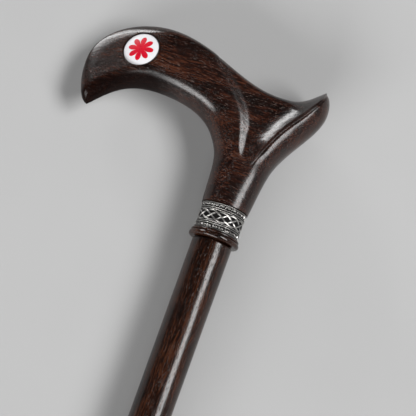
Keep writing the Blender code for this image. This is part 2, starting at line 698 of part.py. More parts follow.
def lie_down(cane, parts):
    """Tip the cane until its foot, its tail crest and its nose flank touch the table together."""
    points = surface_points(parts)
    foot = points[:, 0] < TIP_TOP
    nose = (points[:, 0] > 0) & (points[:, 1] > NECK_RADIUS)
    tail = (points[:, 0] > 0) & (points[:, 1] < -NECK_RADIUS / 2)
    pitch = 0.0
    roll = 0.0
    for _ in range(SETTLE_ROUNDS):
        turn = Matrix.Rotation(pitch, 3, "Y") @ Matrix.Rotation(roll, 3, "X")
        turned_points = points @ np.array(turn).T
        low = [turned_points[group][turned_points[group][:, 2].argmin()] for group in (foot, nose, tail)]
        foot_low, nose_low, tail_low = low
        roll += math.atan2(tail_low[2] - nose_low[2], nose_low[1] - tail_low[1])
        hand = (nose_low + tail_low) / 2
        pitch += math.atan2(hand[2] - foot_low[2], hand[0] - foot_low[0])
    turn = Matrix.Rotation(pitch, 3, "Y") @ Matrix.Rotation(roll, 3, "X")
    laid = points @ np.array(turn).T
    low = laid.min(0)
    high = laid.max(0)
    shift = Vector((-(low[0] + high[0]) / 2, -(low[1] + high[1]) / 2, -low[2]))
    cane.matrix_world = Matrix.Translation(shift) @ turn.to_4x4()


def main():
    clear_scene()
    parts = new_collection(CANE_NAME)
    cutters = new_collection("cutters")
    cane = bpy.data.objects.new("cane_frame", None)
    parts.objects.link(cane)

    wood = new_material("dark_wood", (0.045, 0.018, 0.012), 0.28)
    shaft_wood = new_material("shaft_wood", (0.052, 0.021, 0.013), 0.28)
    ring_wood = new_material("ring_wood", (0.060, 0.024, 0.015), 0.25)
    pewter = new_material("antique_pewter", (0.42, 0.41, 0.39), 0.38, 1.0)
    bezel_metal = new_material("dark_bezel", (0.05, 0.05, 0.05), 0.4, 1.0)
    enamel = new_material("white_enamel", (0.80, 0.80, 0.80), 0.15)
    red = new_material("red_enamel", (0.68, 0.02, 0.05), 0.2)
    steel = new_material("zinc_steel", (0.55, 0.56, 0.58), 0.35, 1.0)
    handle_brass = new_material("handle_bush_brass", (0.70, 0.50, 0.20), 0.35, 1.0)
    shaft_brass = new_material("shaft_bush_brass", (0.70, 0.50, 0.20), 0.35, 1.0)
    rubber = new_material("black_rubber", (0.02, 0.02, 0.02), 0.75)
    washer_steel = new_material("washer_steel", (0.50, 0.51, 0.53), 0.4, 1.0)

    make_handle(parts, cutters, cane, wood)
    make_badge(parts, cutters, cane, bezel_metal, enamel, red)
    turned("collar", collar_profile(), True, parts, cane, pewter, COLLAR_TOP)
    make_ring(parts, cane, ring_wood)
    make_stud(parts, cane, steel)
    make_bush("handle_bush", parts, cane, handle_brass, TENON_END, True)
    make_bush("shaft_bush", parts, cane, shaft_brass, SHAFT_TOP, False)
    make_shaft(parts, cutters, cane, shaft_wood)
    make_tip(parts, cane, rubber, washer_steel)
    bpy.context.view_layer.update()
    lie_down(cane, parts)
    bpy.context.view_layer.update()


main()
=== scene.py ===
"""Looks of the walking cane: carved handle, enamel badge, cast collar, turned ring, shaft, rubber tip.

Each piece is modelled in the cane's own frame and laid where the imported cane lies: +X runs from the
rubber tip to the handle, +Y to the handle's beak and +Z out of the flank with the badge. X is zero at
the neck's end face, where the handle meets the collar. All lengths are in metres.
"""

import json
import math

import bmesh
import bpy
import numpy as np
from mathutils import Matrix, Vector


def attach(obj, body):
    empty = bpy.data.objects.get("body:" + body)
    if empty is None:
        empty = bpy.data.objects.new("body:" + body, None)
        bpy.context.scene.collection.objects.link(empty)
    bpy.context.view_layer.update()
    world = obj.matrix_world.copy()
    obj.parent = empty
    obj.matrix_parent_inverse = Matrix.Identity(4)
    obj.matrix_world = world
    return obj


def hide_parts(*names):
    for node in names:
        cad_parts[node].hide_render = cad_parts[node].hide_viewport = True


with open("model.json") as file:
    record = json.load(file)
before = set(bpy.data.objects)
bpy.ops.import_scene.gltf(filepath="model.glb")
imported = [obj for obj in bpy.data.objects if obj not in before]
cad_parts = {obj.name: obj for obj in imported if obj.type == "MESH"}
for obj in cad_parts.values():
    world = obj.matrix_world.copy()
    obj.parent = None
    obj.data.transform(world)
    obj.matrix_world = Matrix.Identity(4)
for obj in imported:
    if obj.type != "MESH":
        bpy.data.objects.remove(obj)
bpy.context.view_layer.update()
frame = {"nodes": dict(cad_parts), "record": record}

MM = 0.001
FINE_GAP = 0.00008
MERGE_DISTANCE = 0.000005
SHARP_ANGLE = math.radians(35)
CORNER_REACH = 0.45
ROUND_STEPS = 128
FINE_ROUND_STEPS = 160

# Cane as a whole
CANE_LENGTH = 0.920
FIT_GAP = 0.0003

# Joint from the inside out
STUD_RADIUS = 0.0040
STUD_LENGTH = 0.0640
BUSH_RADIUS = 0.0060
BUSH_LENGTH = 0.0180
BUSH_FLANGE = 0.0012
BUSH_FLANGE_RADIUS = 0.0074
TENON_RADIUS = 0.0092
TENON_LENGTH = 0.0070
TENON_ROOT = 0.0065
COLLAR_BORE = 0.0095
COLLAR_RADIUS = 0.0126
COLLAR_LENGTH = 0.0146
NECK_RADIUS = 0.0130
RING_RADIUS = 0.0140
RING_SLIM_BEAD = 0.0013
RING_FULL_BEAD = 0.0029
RING_SLIM_INSET = 0.0006
BEAD_STEPS = 12
BEAD_ARC = 78

# Handle in side view: (forward, height) from the point where the cane's axis leaves the neck
NOSE_TIP = (0.0893, 0.0285)
NOSE_REACH = 0.0982
NOSE_REACH_HEIGHT = 0.0525
CROWN_FORWARD = 0.0585
CROWN_HEIGHT = 0.0826
SADDLE_HEIGHT = 0.0676
TAIL_TIP = (-0.0307, 0.0795)
TAIL_REACH = 0.0354

# Handle outline, knot by knot: forward, height, heading in degrees, reach before and after
TOP_LINE = (
    (*NOSE_TIP, 10, 0.0, 0.0045),
    (NOSE_REACH, NOSE_REACH_HEIGHT, 91, 0.0130, 0.0165),
    (CROWN_FORWARD, CROWN_HEIGHT, 180, 0.0220, 0.0280),
    (-0.0065, SADDLE_HEIGHT, 180, 0.0230, 0.0135),
    (*TAIL_TIP, 141, 0.0095, 0.0),
)
UNDER_LINE = (
    (*NOSE_TIP, 132, 0.0, 0.0135),
    (0.0540, 0.0483, 180, 0.0190, 0.0160),
    (0.0213, 0.0367, 232, 0.0100, 0.0110),
    (0.0138, 0.0135, 266, 0.0100, 0.0050),
    (NECK_RADIUS, 0.0, 265, 0.0040, 0.0),
)
CREST_LINE = (
    (*TAIL_TIP, 275, 0.0, 0.0050),
    (-0.0225, 0.0613, 303, 0.0080, 0.0070),
    (-0.0110, 0.0425, 294, 0.0080, 0.0070),
    (-0.0042, 0.0240, 284, 0.0070, 0.0080),
    (-0.0030, 0.0, 270, 0.0080, 0.0),
)
BACK_LINE = (
    (*TAIL_TIP, 215, 0.0, 0.0030),
    (-TAIL_REACH, 0.0675, 271, 0.0070, 0.0070),
    (-0.0263, 0.0463, 301, 0.0070, 0.0075),
    (-0.0163, 0.0245, 282, 0.0080, 0.0080),
    (-NECK_RADIUS, 0.0, 278, 0.0080, 0.0),
)
HOLLOW_LINE = (
    (0.0300, 0.0740, 230, 0.0, 0.0080),
    (0.0088, 0.0515, 238, 0.0100, 0.0080),
    (0.0010, 0.0200, 268, 0.0100, 0.0),
)
# Share of the under line, from the nose, at which the rib to each knot of top and crest starts
RIB_ROOTS = (0.0, 0.19, 0.46, 0.700, 0.752, 0.785, 0.835, 0.905, 1.0)
TOP_RIBS = (20, 34, 40, 26)
CREST_RIBS = (26, 22, 20, 20)
FRONT_STEPS = 64
BACK_STEPS = 42
LINE_STEPS = (60, 60, 60, 60)

# Handle's half thickness and the way it is carved
FLANK_HALF = 0.0145
NOSE_HALF = 0.0010
NOSE_START = 0.0565
NOSE_EASE = 0.0150
NOSE_SLOPE = 0.42
NOSE_SLANT = 0.42
CREST_RISE = 0.0063
CREST_FADE = (0.016, 0.040)
SCOOP_WIDTH = 0.0130
SCOOP_POWER = 2.0
HOLLOW_DEPTH = 0.0020
HOLLOW_BLEND = 0.0035
HOLLOW_FADE = (0.020, 0.034)
BACK_HALF = 0.0138
BACK_RISE = 0.0016
BACK_EDGE = (0.0105, 0.0150)
BACK_EDGE_GROWTH = (0.028, 0.052)
GROOVE_WIDTH = 0.0006
GROOVE_SPREAD = 0.0050
GROOVE_START = (0.020, 0.034)
GROOVE_DEPTH = 0.0011
GROOVE_PLACE = 0.0011
GROOVE_HALF = 0.0007
GROOVE_FALL = 1.5
TOP_EDGE = (0.0070, 0.0045, 0.0120)
UNDER_EDGE = (0.0080, 0.0130)
EDGE_POWER = 2.0
NOSE_POWER = 4.0
BEAK_POWER = 1.3
NOSE_SPAN = (0.035, 0.085)
TAIL_SPAN = (-0.024, -0.010)
NECK_BLEND = (0.008, 0.034)
NECK_POWER = 2.15
LEAST_SHARE = 0.000001

# Badge in the handle's flank
BADGE_FORWARD = 0.0720
BADGE_HEIGHT = 0.0650
BADGE_RADIUS = 0.01025
BADGE_SINK = 0.0009
BEZEL_WALL = 0.00045
BEZEL_FLOOR = 0.0005
BEZEL_ROUNDING = 0.00012
DISC_EDGE = 0.0007
DISC_DOME = 0.0009
DISC_RADIUS = BADGE_RADIUS - BEZEL_WALL - FINE_GAP
DOME_RINGS = 20
ROSETTE_MARGIN = 0.0025
ROSETTE_PETALS = 8
PETAL_LENGTH = 0.0046
PETAL_BLUNTNESS = 0.6
PETAL_STEPS = 26
ROSETTE_DEPTH = 0.0005
ROSETTE_RISE = 0.00005
SLOPE_STEP = 0.0004

# Underside of the beak, where shade is painted into the wood, as a band inside an arc about a point below
# the grip
BEAK_ARC_FORWARD = 0.0517
BEAK_ARC_HEIGHT = 0.0029
BEAK_ARC_RADII = (0.0510, 0.0550)
BEAK_PAINTED_SHADE_SPAN = (0.040, 0.060)

# Relief of the cast collar, from its middle line outwards
COLLAR_TURN_STEPS = 720
COLLAR_STEPS = 160
COLLAR_FLOOR = 0.0118
STRANDS = 4
STRAND_WAVES = 3
STRAND_REACH = 0.0027
STRAND_HALF = 0.00045
STRAND_RISE = 0.00044
STRAND_SHOULDER = 0.35
WEAVE_RISE = 0.00022
LINE_PLACES = (0.00340, 0.00440)
LINE_HALF = 0.00023
LINE_RISE = 0.00062
BORDER_EDGE = 0.0050
BORDER_RISE = 0.00005
BORDER_RIM = 0.00692
RIM_HALF = 0.00024
RIM_RISE = 0.00072
KEY_COUNT = 22
KEY_RISE = 0.00066
KEY_STROKE = 0.00018
KEY_SOFTNESS = 0.6
KEY_BAND = (0.00505, 0.00640)
# Strokes of one key: from (turn, height) to (turn, height), as shares of its cell
KEY_STROKES = (
    (0.12, 0.12, 0.12, 0.80),
    (0.12, 0.80, 0.78, 0.80),
    (0.78, 0.42, 0.78, 0.80),
    (0.45, 0.42, 0.78, 0.42),
)

# Shaft
SHAFT_TOP_RADIUS = 0.0110
SHAFT_END_RADIUS = 0.0088
SHAFT_CHAMFER = 0.0008
SHAFT_ROUNDING = 0.0004

# Rubber tip
TIP_WALL = 0.0036
TIP_FLOOR = 0.0120
TIP_FLARE = 0.0045
TIP_FLARE_HEIGHT = 0.0190
TIP_FLARE_STEPS = 12
TIP_FOOT_HEIGHT = 0.0060
TIP_PLAIN_HEIGHT = 0.0140
TIP_RIBS = 3
TIP_RIB_PITCH = 0.0040
TIP_RIB_LAND = 0.0008
TIP_RIB_SWELL = 0.0006
TIP_RIM_HEIGHT = 0.0050
TIP_RIM_BEVEL = 0.0016
TIP_RIM_SWELL = 0.0008
TIP_PAD_RADIUS = 0.0070
TIP_TREAD_WIDTH = 0.0025
TIP_TREAD_DEPTH = 0.0012
TIP_ROUNDING = 0.0005
TIP_HEIGHT = TIP_FLARE_HEIGHT + TIP_PLAIN_HEIGHT + TIP_RIBS * TIP_RIB_PITCH + TIP_RIM_HEIGHT
WASHER_THICKNESS = 0.0016

# Places along the cane's axis, each worked out from the piece before it
TENON_END = -TENON_LENGTH
COLLAR_MIDDLE = -FIT_GAP - COLLAR_LENGTH / 2
RING_TOP = -2 * FIT_GAP - COLLAR_LENGTH
SHAFT_SHOULDER = RING_TOP - RING_SLIM_BEAD - RING_FULL_BEAD - FIT_GAP
SHAFT_TOP = TENON_END - FIT_GAP
GROUND = CROWN_HEIGHT - CANE_LENGTH
TIP_TOP = GROUND + TIP_HEIGHT
SHAFT_END = GROUND + TIP_FLOOR + FIT_GAP + WASHER_THICKNESS + FIT_GAP

# The photograph's camera, which looks at the neck from above, tilted along the cane
FRAME_PIXELS = 416
PIXEL = 0.5366 * MM
CAMERA_DISTANCE = 1.0
CAMERA_TILT = math.radians(12.5)
CAMERA_ROLL = math.radians(20)
NECK_PIXEL = (224.7, 209.0)
SENSOR_WIDTH = 36.0

# Softboxes: degrees off the line of sight to the right and up, width, height, and radiance
LAMP_DISTANCE = 3.6
SOFTBOXES = {
    "upper_left_softbox": (-38, 81, 1.25, 0.92, 20.0),
    "right_softbox": (46, 4, 2.75, 1.36, 13.5),
    "lower_left_softbox": (-34, -40, 3.10, 1.22, 13.0),
    "upper_right_softbox": (46, 28, 1.30, 0.96, 2.2),
}

# Dim studio: strength at the horizon from the picture's left to its right, and overhead
STUDIO_SIDES = (0.10, 0.42)
STUDIO_SIDE_SPAN = (0.7, -0.7)
STUDIO_OVERHEAD = 0.045
STUDIO_RISE = (0.10, 0.65)
STUDIO_COLOR = (1.0, 0.99, 1.0, 1.0)

# Floor
FLOOR_RADIUS = 12.0
FLOOR_SEGMENTS = 96
FLOOR_TONES = ((0.35, 0.35, 0.35), (0.38, 0.38, 0.38))
FLOOR_CLOUD = 0.01
FLOOR_ROUGHNESS = 0.9


def standing(place, x, y, z):
    """Matrix of a frame that stands at a place, with its three axes along the given directions."""
    return Matrix.Translation(place) @ Matrix((x, y, z)).transposed().to_4x4()


def cane_matrix():
    """The cane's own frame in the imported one, read from the ground face and the beak's tip."""
    ground = frame["record"]["mounts"][0]
    along = -Vector(ground["axis"]).normalized()
    origin = Vector(ground["pos_m"]) - along * GROUND

    def miss(corner):
        away = corner.co - origin
        place = away.dot(along)
        return abs(place - NOSE_TIP[1]) + abs((away - along * place).length - NOSE_TIP[0])

    away = min(frame["nodes"]["handle"].data.vertices, key=miss).co - origin
    forward = (away - along * away.dot(along)).normalized()
    return standing(origin, along, forward, along.cross(forward))


CANE = cane_matrix()


def mesh_from(name, points, edges=(), faces=()):
    made = bpy.data.meshes.new(name)
    made.from_pydata([tuple(map(float, point)) for point in points], edges, faces)
    return made


def new_piece(name, data, place=None):
    """Object in the cane's frame, or at a place within that frame."""
    made = bpy.data.objects.new(name, data)
    bpy.context.scene.collection.objects.link(made)
    made.matrix_world = CANE if place is None else CANE @ place
    return made


def along_axis(place):
    """Matrix that stands a piece turned about local Z on the cane's axis, at a place along it."""
    return Matrix.Translation((place, 0, 0)) @ Matrix.Rotation(math.radians(90), 4, "Y")


def freeze(made):
    """Give the piece its evaluated mesh and drop its modifiers."""
    depsgraph = bpy.context.evaluated_depsgraph_get()
    mesh = bpy.data.meshes.new_from_object(made.evaluated_get(depsgraph))
    made.modifiers.clear()
    made.data = mesh


def turned(name, profile, place, steps=ROUND_STEPS, closed=False):
    """Solid of revolution; the profile of (radius, height) runs down its outer side."""
    count = len(profile)
    edges = [(i, i + 1) for i in range(count - 1)]
    if closed:
        edges.append((count - 1, 0))
    points = [(radius, 0, height) for radius, height in profile]
    made = new_piece(name, mesh_from(name, points, edges), place)
    screw = made.modifiers.new("turn", "SCREW")
    screw.axis = "Z"
    screw.steps = steps
    screw.render_steps = steps
    screw.use_merge_vertices = True
    screw.merge_threshold = MERGE_DISTANCE
    screw.use_smooth_shade = True
    freeze(made)
    return made


def rounded(profile, radius, steps=4):
    """The profile with each inner corner rounded by a small curve."""
    points = [Vector(point) for point in profile]
    made = [points[0]]
    for before, corner, after in zip(points, points[1:], points[2:]):
        shorter = min((corner - before).length, (after - corner).length)
        reach = min(radius, shorter * CORNER_REACH)
        start = corner + (before - corner).normalized() * reach
        end = corner + (after - corner).normalized() * reach
        for step in range(steps + 1):
            t = step / steps
            made.append((1 - t) ** 2 * start + 2 * (1 - t) * t * corner + t ** 2 * end)
    made.append(points[-1])
    return [tuple(point) for point in made]


def peg(name, radius, low, high, place, segments=96):
    """Cylinder along local Z from low to high, used to join or to cut."""
    mesh = bpy.data.meshes.new(name)
    shape = bmesh.new()
    bmesh.ops.create_cone(
        shape,
        cap_ends=True,
        segments=segments,
        radius1=radius,
        radius2=radius,
        depth=high - low,
        matrix=Matrix.Translation((0, 0, (low + high) / 2)),
    )
    shape.to_mesh(mesh)
    shape.free()
    return new_piece(name, mesh, place)


def combine(target, cutter, operation):
    """Apply one exact Boolean and remove its cutter."""
    boolean = target.modifiers.new("boolean", "BOOLEAN")
    boolean.operation = operation
    boolean.object = cutter
    boolean.solver = "EXACT"
    freeze(target)
    bpy.data.objects.remove(cutter)


def bore(target, mouth, up):
    """Bore a piece for its bush and the stud, from its mouth up or down the cane's axis."""
    widths = (
        (BUSH_FLANGE_RADIUS, BUSH_FLANGE),
        (BUSH_RADIUS, BUSH_LENGTH + FIT_GAP),
        (STUD_RADIUS, STUD_LENGTH / 2 + FIT_GAP),
    )
    for radius, depth in widths:
        ends = sorted((mouth - up * FIT_GAP, mouth + up * depth))
        combine(target, peg("bore", radius + FIT_GAP, *ends, along_axis(0.0)), "DIFFERENCE")


def heading(degrees):
    angle = math.radians(degrees)
    return Vector((math.cos(angle), math.sin(angle)))


def curve_points(knots, steps):
    """Points along the cubic curves between knots, with a number of steps for each curve."""
    points = []
    for first, second, count in zip(knots[:-1], knots[1:], steps, strict=True):
        start = Vector(first[:2])
        end = Vector(second[:2])
        leave = heading(first[2]) * first[4]
        arrive = heading(second[2]) * second[3]
        for step in range(count):
            t = step / count
            point = (1 - t) ** 3 * start
            point += 3 * (1 - t) ** 2 * t * (start + leave)
            point += 3 * (1 - t) * t ** 2 * (end - arrive)
            point += t ** 3 * end
            points.append(point)
    points.append(Vector(knots[-1][:2]))
    return np.array(points)


def gap_to(points, line):
    """Distance from each point to a line, and the side of the line it lies on."""
    start = line[:-1]
    span = np.diff(line, axis=0)
    away = points[:, None] - start
    share = np.clip((away * span).sum(2) / (span ** 2).sum(1), 0, 1)
    gap = np.linalg.norm(away - share[..., None] * span, axis=2)
    nearest = gap.argmin(1)
    rows = np.arange(len(points))
    to_point = away[rows, nearest]
    along = span[nearest]
    side = np.sign(along[:, 1] * to_point[:, 0] - along[:, 0] * to_point[:, 1])
    return gap[rows, nearest], side


def smooth_step(low, high, value):
    t = np.clip((value - low) / (high - low), 0, 1)
    return t * t * (3 - 2 * t)


def rounded_edge(distance, width, inner=EDGE_POWER, outer=EDGE_POWER):
    """Share of the full half thickness at a distance from an edge; powers of 2 make an ellipse."""
    return (1 - (1 - np.clip(distance / width, 0, 1)) ** inner) ** (1 / outer)


TOP = curve_points(TOP_LINE, LINE_STEPS)
UNDER = curve_points(UNDER_LINE, LINE_STEPS)
CREST = curve_points(CREST_LINE, LINE_STEPS)
BACK = curve_points(BACK_LINE, LINE_STEPS)
HOLLOW = curve_points(HOLLOW_LINE, LINE_STEPS[:2])


def neck_half(points):
    """Half thickness of the neck, whose section is an oval with slightly flattened flanks."""
    height = points[:, 1]
    under = UNDER[len(UNDER) // 2:][::-1]
    back = BACK[len(BACK) // 2:][::-1]
    front_edge = np.interp(height, under[:, 1], under[:, 0])
    back_edge = np.interp(height, back[:, 1], back[:, 0])
    middle = (front_edge + back_edge) / 2
    across = (points[:, 0] - middle) / ((front_edge - back_edge) / 2)
    return NECK_RADIUS * np.maximum(1 - np.abs(across) ** NECK_POWER, 0) ** (1 / NECK_POWER)


def blend_to_neck(points, carved):
    share = smooth_step(*NECK_BLEND, points[:, 1])
    return carved * share + neck_half(points) * (1 - share)


def front_half(points):
    """Half thickness in front of the crest, from the beak to the scoop."""
    forward = points[:, 0]
    height = points[:, 1]
    toward_nose = smooth_step(*NOSE_SPAN, forward)
    toward_tail = 1 - smooth_step(*TAIL_SPAN, forward)
    slanted = forward + NOSE_SLANT * (height - BADGE_HEIGHT) - NOSE_START
    eased = np.clip(slanted, 0, NOSE_EASE)
    drop = NOSE_SLOPE * (eased ** 2 / (2 * NOSE_EASE) + np.maximum(slanted - NOSE_EASE, 0))
    flank = np.maximum(FLANK_HALF - drop, NOSE_HALF)
    gap, side = gap_to(points, HOLLOW)
    hollow = HOLLOW_DEPTH * smooth_step(-HOLLOW_BLEND, HOLLOW_BLEND, gap * side)
    crest, _ = gap_to(points, CREST)
    grown = np.maximum(smooth_step(*CREST_FADE, height), LEAST_SHARE)
    scoop = CREST_RISE * grown * np.clip(1 - crest / (SCOOP_WIDTH * grown), 0, 1) ** SCOOP_POWER
    flank += scoop - hollow * smooth_step(*HOLLOW_FADE, height)
    nose_edge, crown_edge, tail_edge = TOP_EDGE
    top_edge = crown_edge + (nose_edge - crown_edge) * toward_nose + (tail_edge - crown_edge) * toward_tail
    beak_edge, grip_edge = UNDER_EDGE
    under_edge = grip_edge + (beak_edge - grip_edge) * toward_nose
    top_power = EDGE_POWER + (NOSE_POWER - EDGE_POWER) * toward_nose
    under_power = EDGE_POWER + (BEAK_POWER - EDGE_POWER) * toward_nose
    top, _ = gap_to(points, TOP)
    under, _ = gap_to(points, UNDER)
    edges = rounded_edge(top, top_edge, outer=top_power)
    edges *= rounded_edge(under, under_edge, under_power, under_power)
    return blend_to_neck(points, flank * edges)


def back_half(points):
    """Half thickness behind the crest, without the crest itself."""
    height = points[:, 1]
    back, _ = gap_to(points, BACK)
    low_edge, tail_edge = BACK_EDGE
    edge = low_edge + (tail_edge - low_edge) * smooth_step(*BACK_EDGE_GROWTH, height)
    flank = BACK_HALF + BACK_RISE * smooth_step(*CREST_FADE, height)
    return blend_to_neck(points, flank * rounded_edge(back, edge))


def badge_place():
    """Where the badge's rim plane lies on the flank, with local Z along the surface's normal."""
    spot = np.array((BADGE_FORWARD, BADGE_HEIGHT))
    half = front_half(spot + SLOPE_STEP * np.array(((0, 0), (1, 0), (-1, 0), (0, 1), (0, -1))))
    slope_forward = (half[1] - half[2]) / (2 * SLOPE_STEP)
    slope_height = (half[3] - half[4]) / (2 * SLOPE_STEP)
    normal = Vector((-slope_height, -slope_forward, 1)).normalized()
    place = Vector((BADGE_HEIGHT, BADGE_FORWARD, half[0])) - normal * BADGE_SINK
    side = Vector((0, 1, 0)).cross(normal).normalized()
    return standing(place, side, normal.cross(side), normal)


BADGE = badge_place()


def handle_half_mesh():
    """One flank of the handle, open at the middle plane, as a strip of ribs from line to line."""
    crest = curve_points(CREST_LINE, CREST_RIBS)[1:]
    outer = np.vstack((curve_points(TOP_LINE, TOP_RIBS), crest))
    knot_ribs = np.cumsum((0, *TOP_RIBS, *CREST_RIBS))
    share = np.interp(range(len(outer)), knot_ribs, RIB_ROOTS)
    run = np.concatenate(((0,), np.cumsum(np.linalg.norm(np.diff(UNDER, axis=0), axis=1))))
    root = np.stack([np.interp(share * run[-1], run, UNDER[:, axis]) for axis in (0, 1)], 1)

    # front leaf: crowded towards both ends of each rib, where the surface turns over
    t = (1 - np.cos(np.linspace(0, math.pi, FRONT_STEPS + 1))) / 2
    front = root[1:, None] + (outer - root)[1:, None] * t[None, :, None]
    tail_rib = sum(TOP_RIBS) - 1
    front_z = front_half(front.reshape(-1, 2)).reshape(front.shape[:2])
    front_z[:, 0] = 0
    front_z[:tail_rib + 1, -1] = 0

    # back leaf: from the crest to the handle's back
    back_edge = curve_points(BACK_LINE, CREST_RIBS)[1:]
    u = (1 - np.cos(np.linspace(0, math.pi, BACK_STEPS + 1))) / 2
    back = crest[:, None] + (back_edge - crest)[:, None] * u[None, :, None]
    crest_z = front_z[tail_rib + 1:, -1]
    wall = crest_z - back_half(crest)
    gap, _ = gap_to(back.reshape(-1, 2), CREST)
    gap = gap.reshape(back.shape[:2])
    crisp = smooth_step(*GROOVE_START, crest[:, 1])[:, None]
    fade = np.exp(-(gap / (GROOVE_SPREAD + (GROOVE_WIDTH - GROOVE_SPREAD) * crisp)) ** GROOVE_FALL)
    dip = GROOVE_DEPTH * np.exp(-((gap - GROOVE_PLACE) / GROOVE_HALF) ** 2)
    dip *= smooth_step(0.0, 2 * GROOVE_DEPTH, wall)[:, None] * crisp
    back_z = back_half(back.reshape(-1, 2)).reshape(back.shape[:2]) + wall[:, None] * fade - dip
    back_z[:, 0] = crest_z
    back_z[:, -1] = 0

    points = [(NOSE_TIP[1], NOSE_TIP[0], 0)]
    rows = []
    for grid, half in ((front, front_z), (back, back_z)):
        for line, heights in zip(grid, half):
            rows.append(range(len(points), len(points) + len(line)))
            points += [(height, forward, z) for (forward, height), z in zip(line, heights)]
    front_rows = rows[:len(front)]
    back_rows = rows[len(front):]
    tail = front_rows[tail_rib][-1]
    faces = [(0, front_rows[0][i + 1], front_rows[0][i]) for i in range(FRONT_STEPS)]
    faces += [(tail, back_rows[0][i + 1], back_rows[0][i]) for i in range(BACK_STEPS)]
    for strip in (front_rows, back_rows):
        for low, high in zip(strip, strip[1:]):
            faces += [(low[i], low[i + 1], high[i + 1], high[i]) for i in range(len(low) - 1)]
    faces.append((*front_rows[-1], *back_rows[-1][1:]))
    mesh = mesh_from("handle_half", points, faces=faces)
    shape = bmesh.new()
    shape.from_mesh(mesh)
    bmesh.ops.remove_doubles(shape, verts=shape.verts, dist=MERGE_DISTANCE)
    bmesh.ops.recalc_face_normals(shape, faces=shape.faces)
    shape.to_mesh(mesh)
    shape.free()
    return mesh


def sharpen(made, chosen=lambda spot: True):
    """Shade a piece smooth, but for the sharp edges that are chosen by where they lie."""
    mesh = made.data
    mesh.shade_smooth()
    shape = bmesh.new()
    shape.from_mesh(mesh)
    for edge in shape.edges:
        crease = len(edge.link_faces) == 2 and edge.calc_face_angle(0) > SHARP_ANGLE
        edge.smooth = not (crease and chosen((edge.verts[0].co + edge.verts[1].co) / 2))
    shape.to_mesh(mesh)
    shape.free()


def make_handle():
    """Carved handle with its tenon, bored for bush and stud, and cut for the badge."""
    handle = new_piece("carved_handle", handle_half_mesh())
    mirror = handle.modifiers.new("far_flank", "MIRROR")
    mirror.use_axis = (False, False, True)
    mirror.use_clip = True
    mirror.merge_threshold = MERGE_DISTANCE
    freeze(handle)
    combine(handle, peg("tenon", TENON_RADIUS, TENON_END, TENON_ROOT, along_axis(0.0)), "UNION")
    bore(handle, TENON_END, 1)
    depth = DISC_EDGE + BEZEL_FLOOR + 2 * FIT_GAP
    pocket = peg("pocket", BADGE_RADIUS + FINE_GAP, -depth, BADGE_RADIUS, BADGE, FINE_ROUND_STEPS)
    combine(handle, pocket, "DIFFERENCE")
    to_badge = BADGE.inverted()

    def at_a_cut(spot):
        local = to_badge @ spot
        in_pocket = math.hypot(local.x, local.y) < BADGE_RADIUS + 2 * FIT_GAP
        return in_pocket and abs(local.z) < BADGE_RADIUS or spot.x < FINE_GAP

    sharpen(handle, at_a_cut)
    return handle


def dome_height(radius):
    """Height of the enamel dome over the rim plane, at a distance from its centre."""
    sphere = (DISC_RADIUS ** 2 + DISC_DOME ** 2) / (2 * DISC_DOME)
    return math.sqrt(sphere ** 2 - radius ** 2) - (sphere - DISC_DOME)


def disc_profile(raised=0.0):
    arc = [DISC_RADIUS * step / DOME_RINGS for step in range(DOME_RINGS + 1)]
    dome = [(radius, dome_height(radius) + raised) for radius in arc]
    return dome + [(DISC_RADIUS, -DISC_EDGE), (0, -DISC_EDGE)]


def rosette_blank(name, grow, low, high):
    """Prism with the rosette's outline, grown by a clearance, from low to high."""
    count = ROSETTE_PETALS * PETAL_STEPS
    outline = []
    for step in range(count):
        angle = 2 * math.pi * step / count
        petal = abs(math.cos(ROSETTE_PETALS * angle / 2)) ** PETAL_BLUNTNESS
        radius = DISC_RADIUS - ROSETTE_MARGIN - PETAL_LENGTH * (1 - petal) + grow
        outline.append((radius * math.cos(angle), radius * math.sin(angle)))
    points = [(x, y, low) for x, y in outline] + [(x, y, high) for x, y in outline]
    faces = [tuple(reversed(range(count))), tuple(range(count, 2 * count))]
    faces += [(i, (i + 1) % count, (i + 1) % count + count, i + count) for i in range(count)]
    return new_piece(name, mesh_from(name, points, faces=faces), BADGE)


def make_badge():
    """Blackened cup, domed white enamel and the red rosette let into it."""
    inner = BADGE_RADIUS - BEZEL_WALL
    floor = -DISC_EDGE - FIT_GAP
    cup = [
        (0, floor),
        (inner, floor),
        (inner, 0),
        (BADGE_RADIUS, 0),
        (BADGE_RADIUS, floor - BEZEL_FLOOR),
        (0, floor - BEZEL_FLOOR),
    ]
    bezel = turned("badge_cup", rounded(cup, BEZEL_ROUNDING), BADGE)
    disc = turned("enamel_disc", disc_profile(), BADGE)
    floor = dome_height(DISC_RADIUS - ROSETTE_MARGIN) - ROSETTE_DEPTH
    combine(disc, rosette_blank("cell", FINE_GAP / 2, floor - FINE_GAP, 2 * DISC_DOME), "DIFFERENCE")
    rosette = rosette_blank("enamel_rosette", 0.0, floor, 2 * DISC_DOME)
    combine(rosette, turned("dome", disc_profile(ROSETTE_RISE), BADGE), "INTERSECT")
    for made in (bezel, disc, rosette):
        sharpen(made)
    return bezel, disc, rosette


def bar(across, half, soft):
    """One inside a bar of a given half width and zero outside, with a soft edge."""
    return 1 - smooth_step(half - soft, half + soft, np.abs(across))


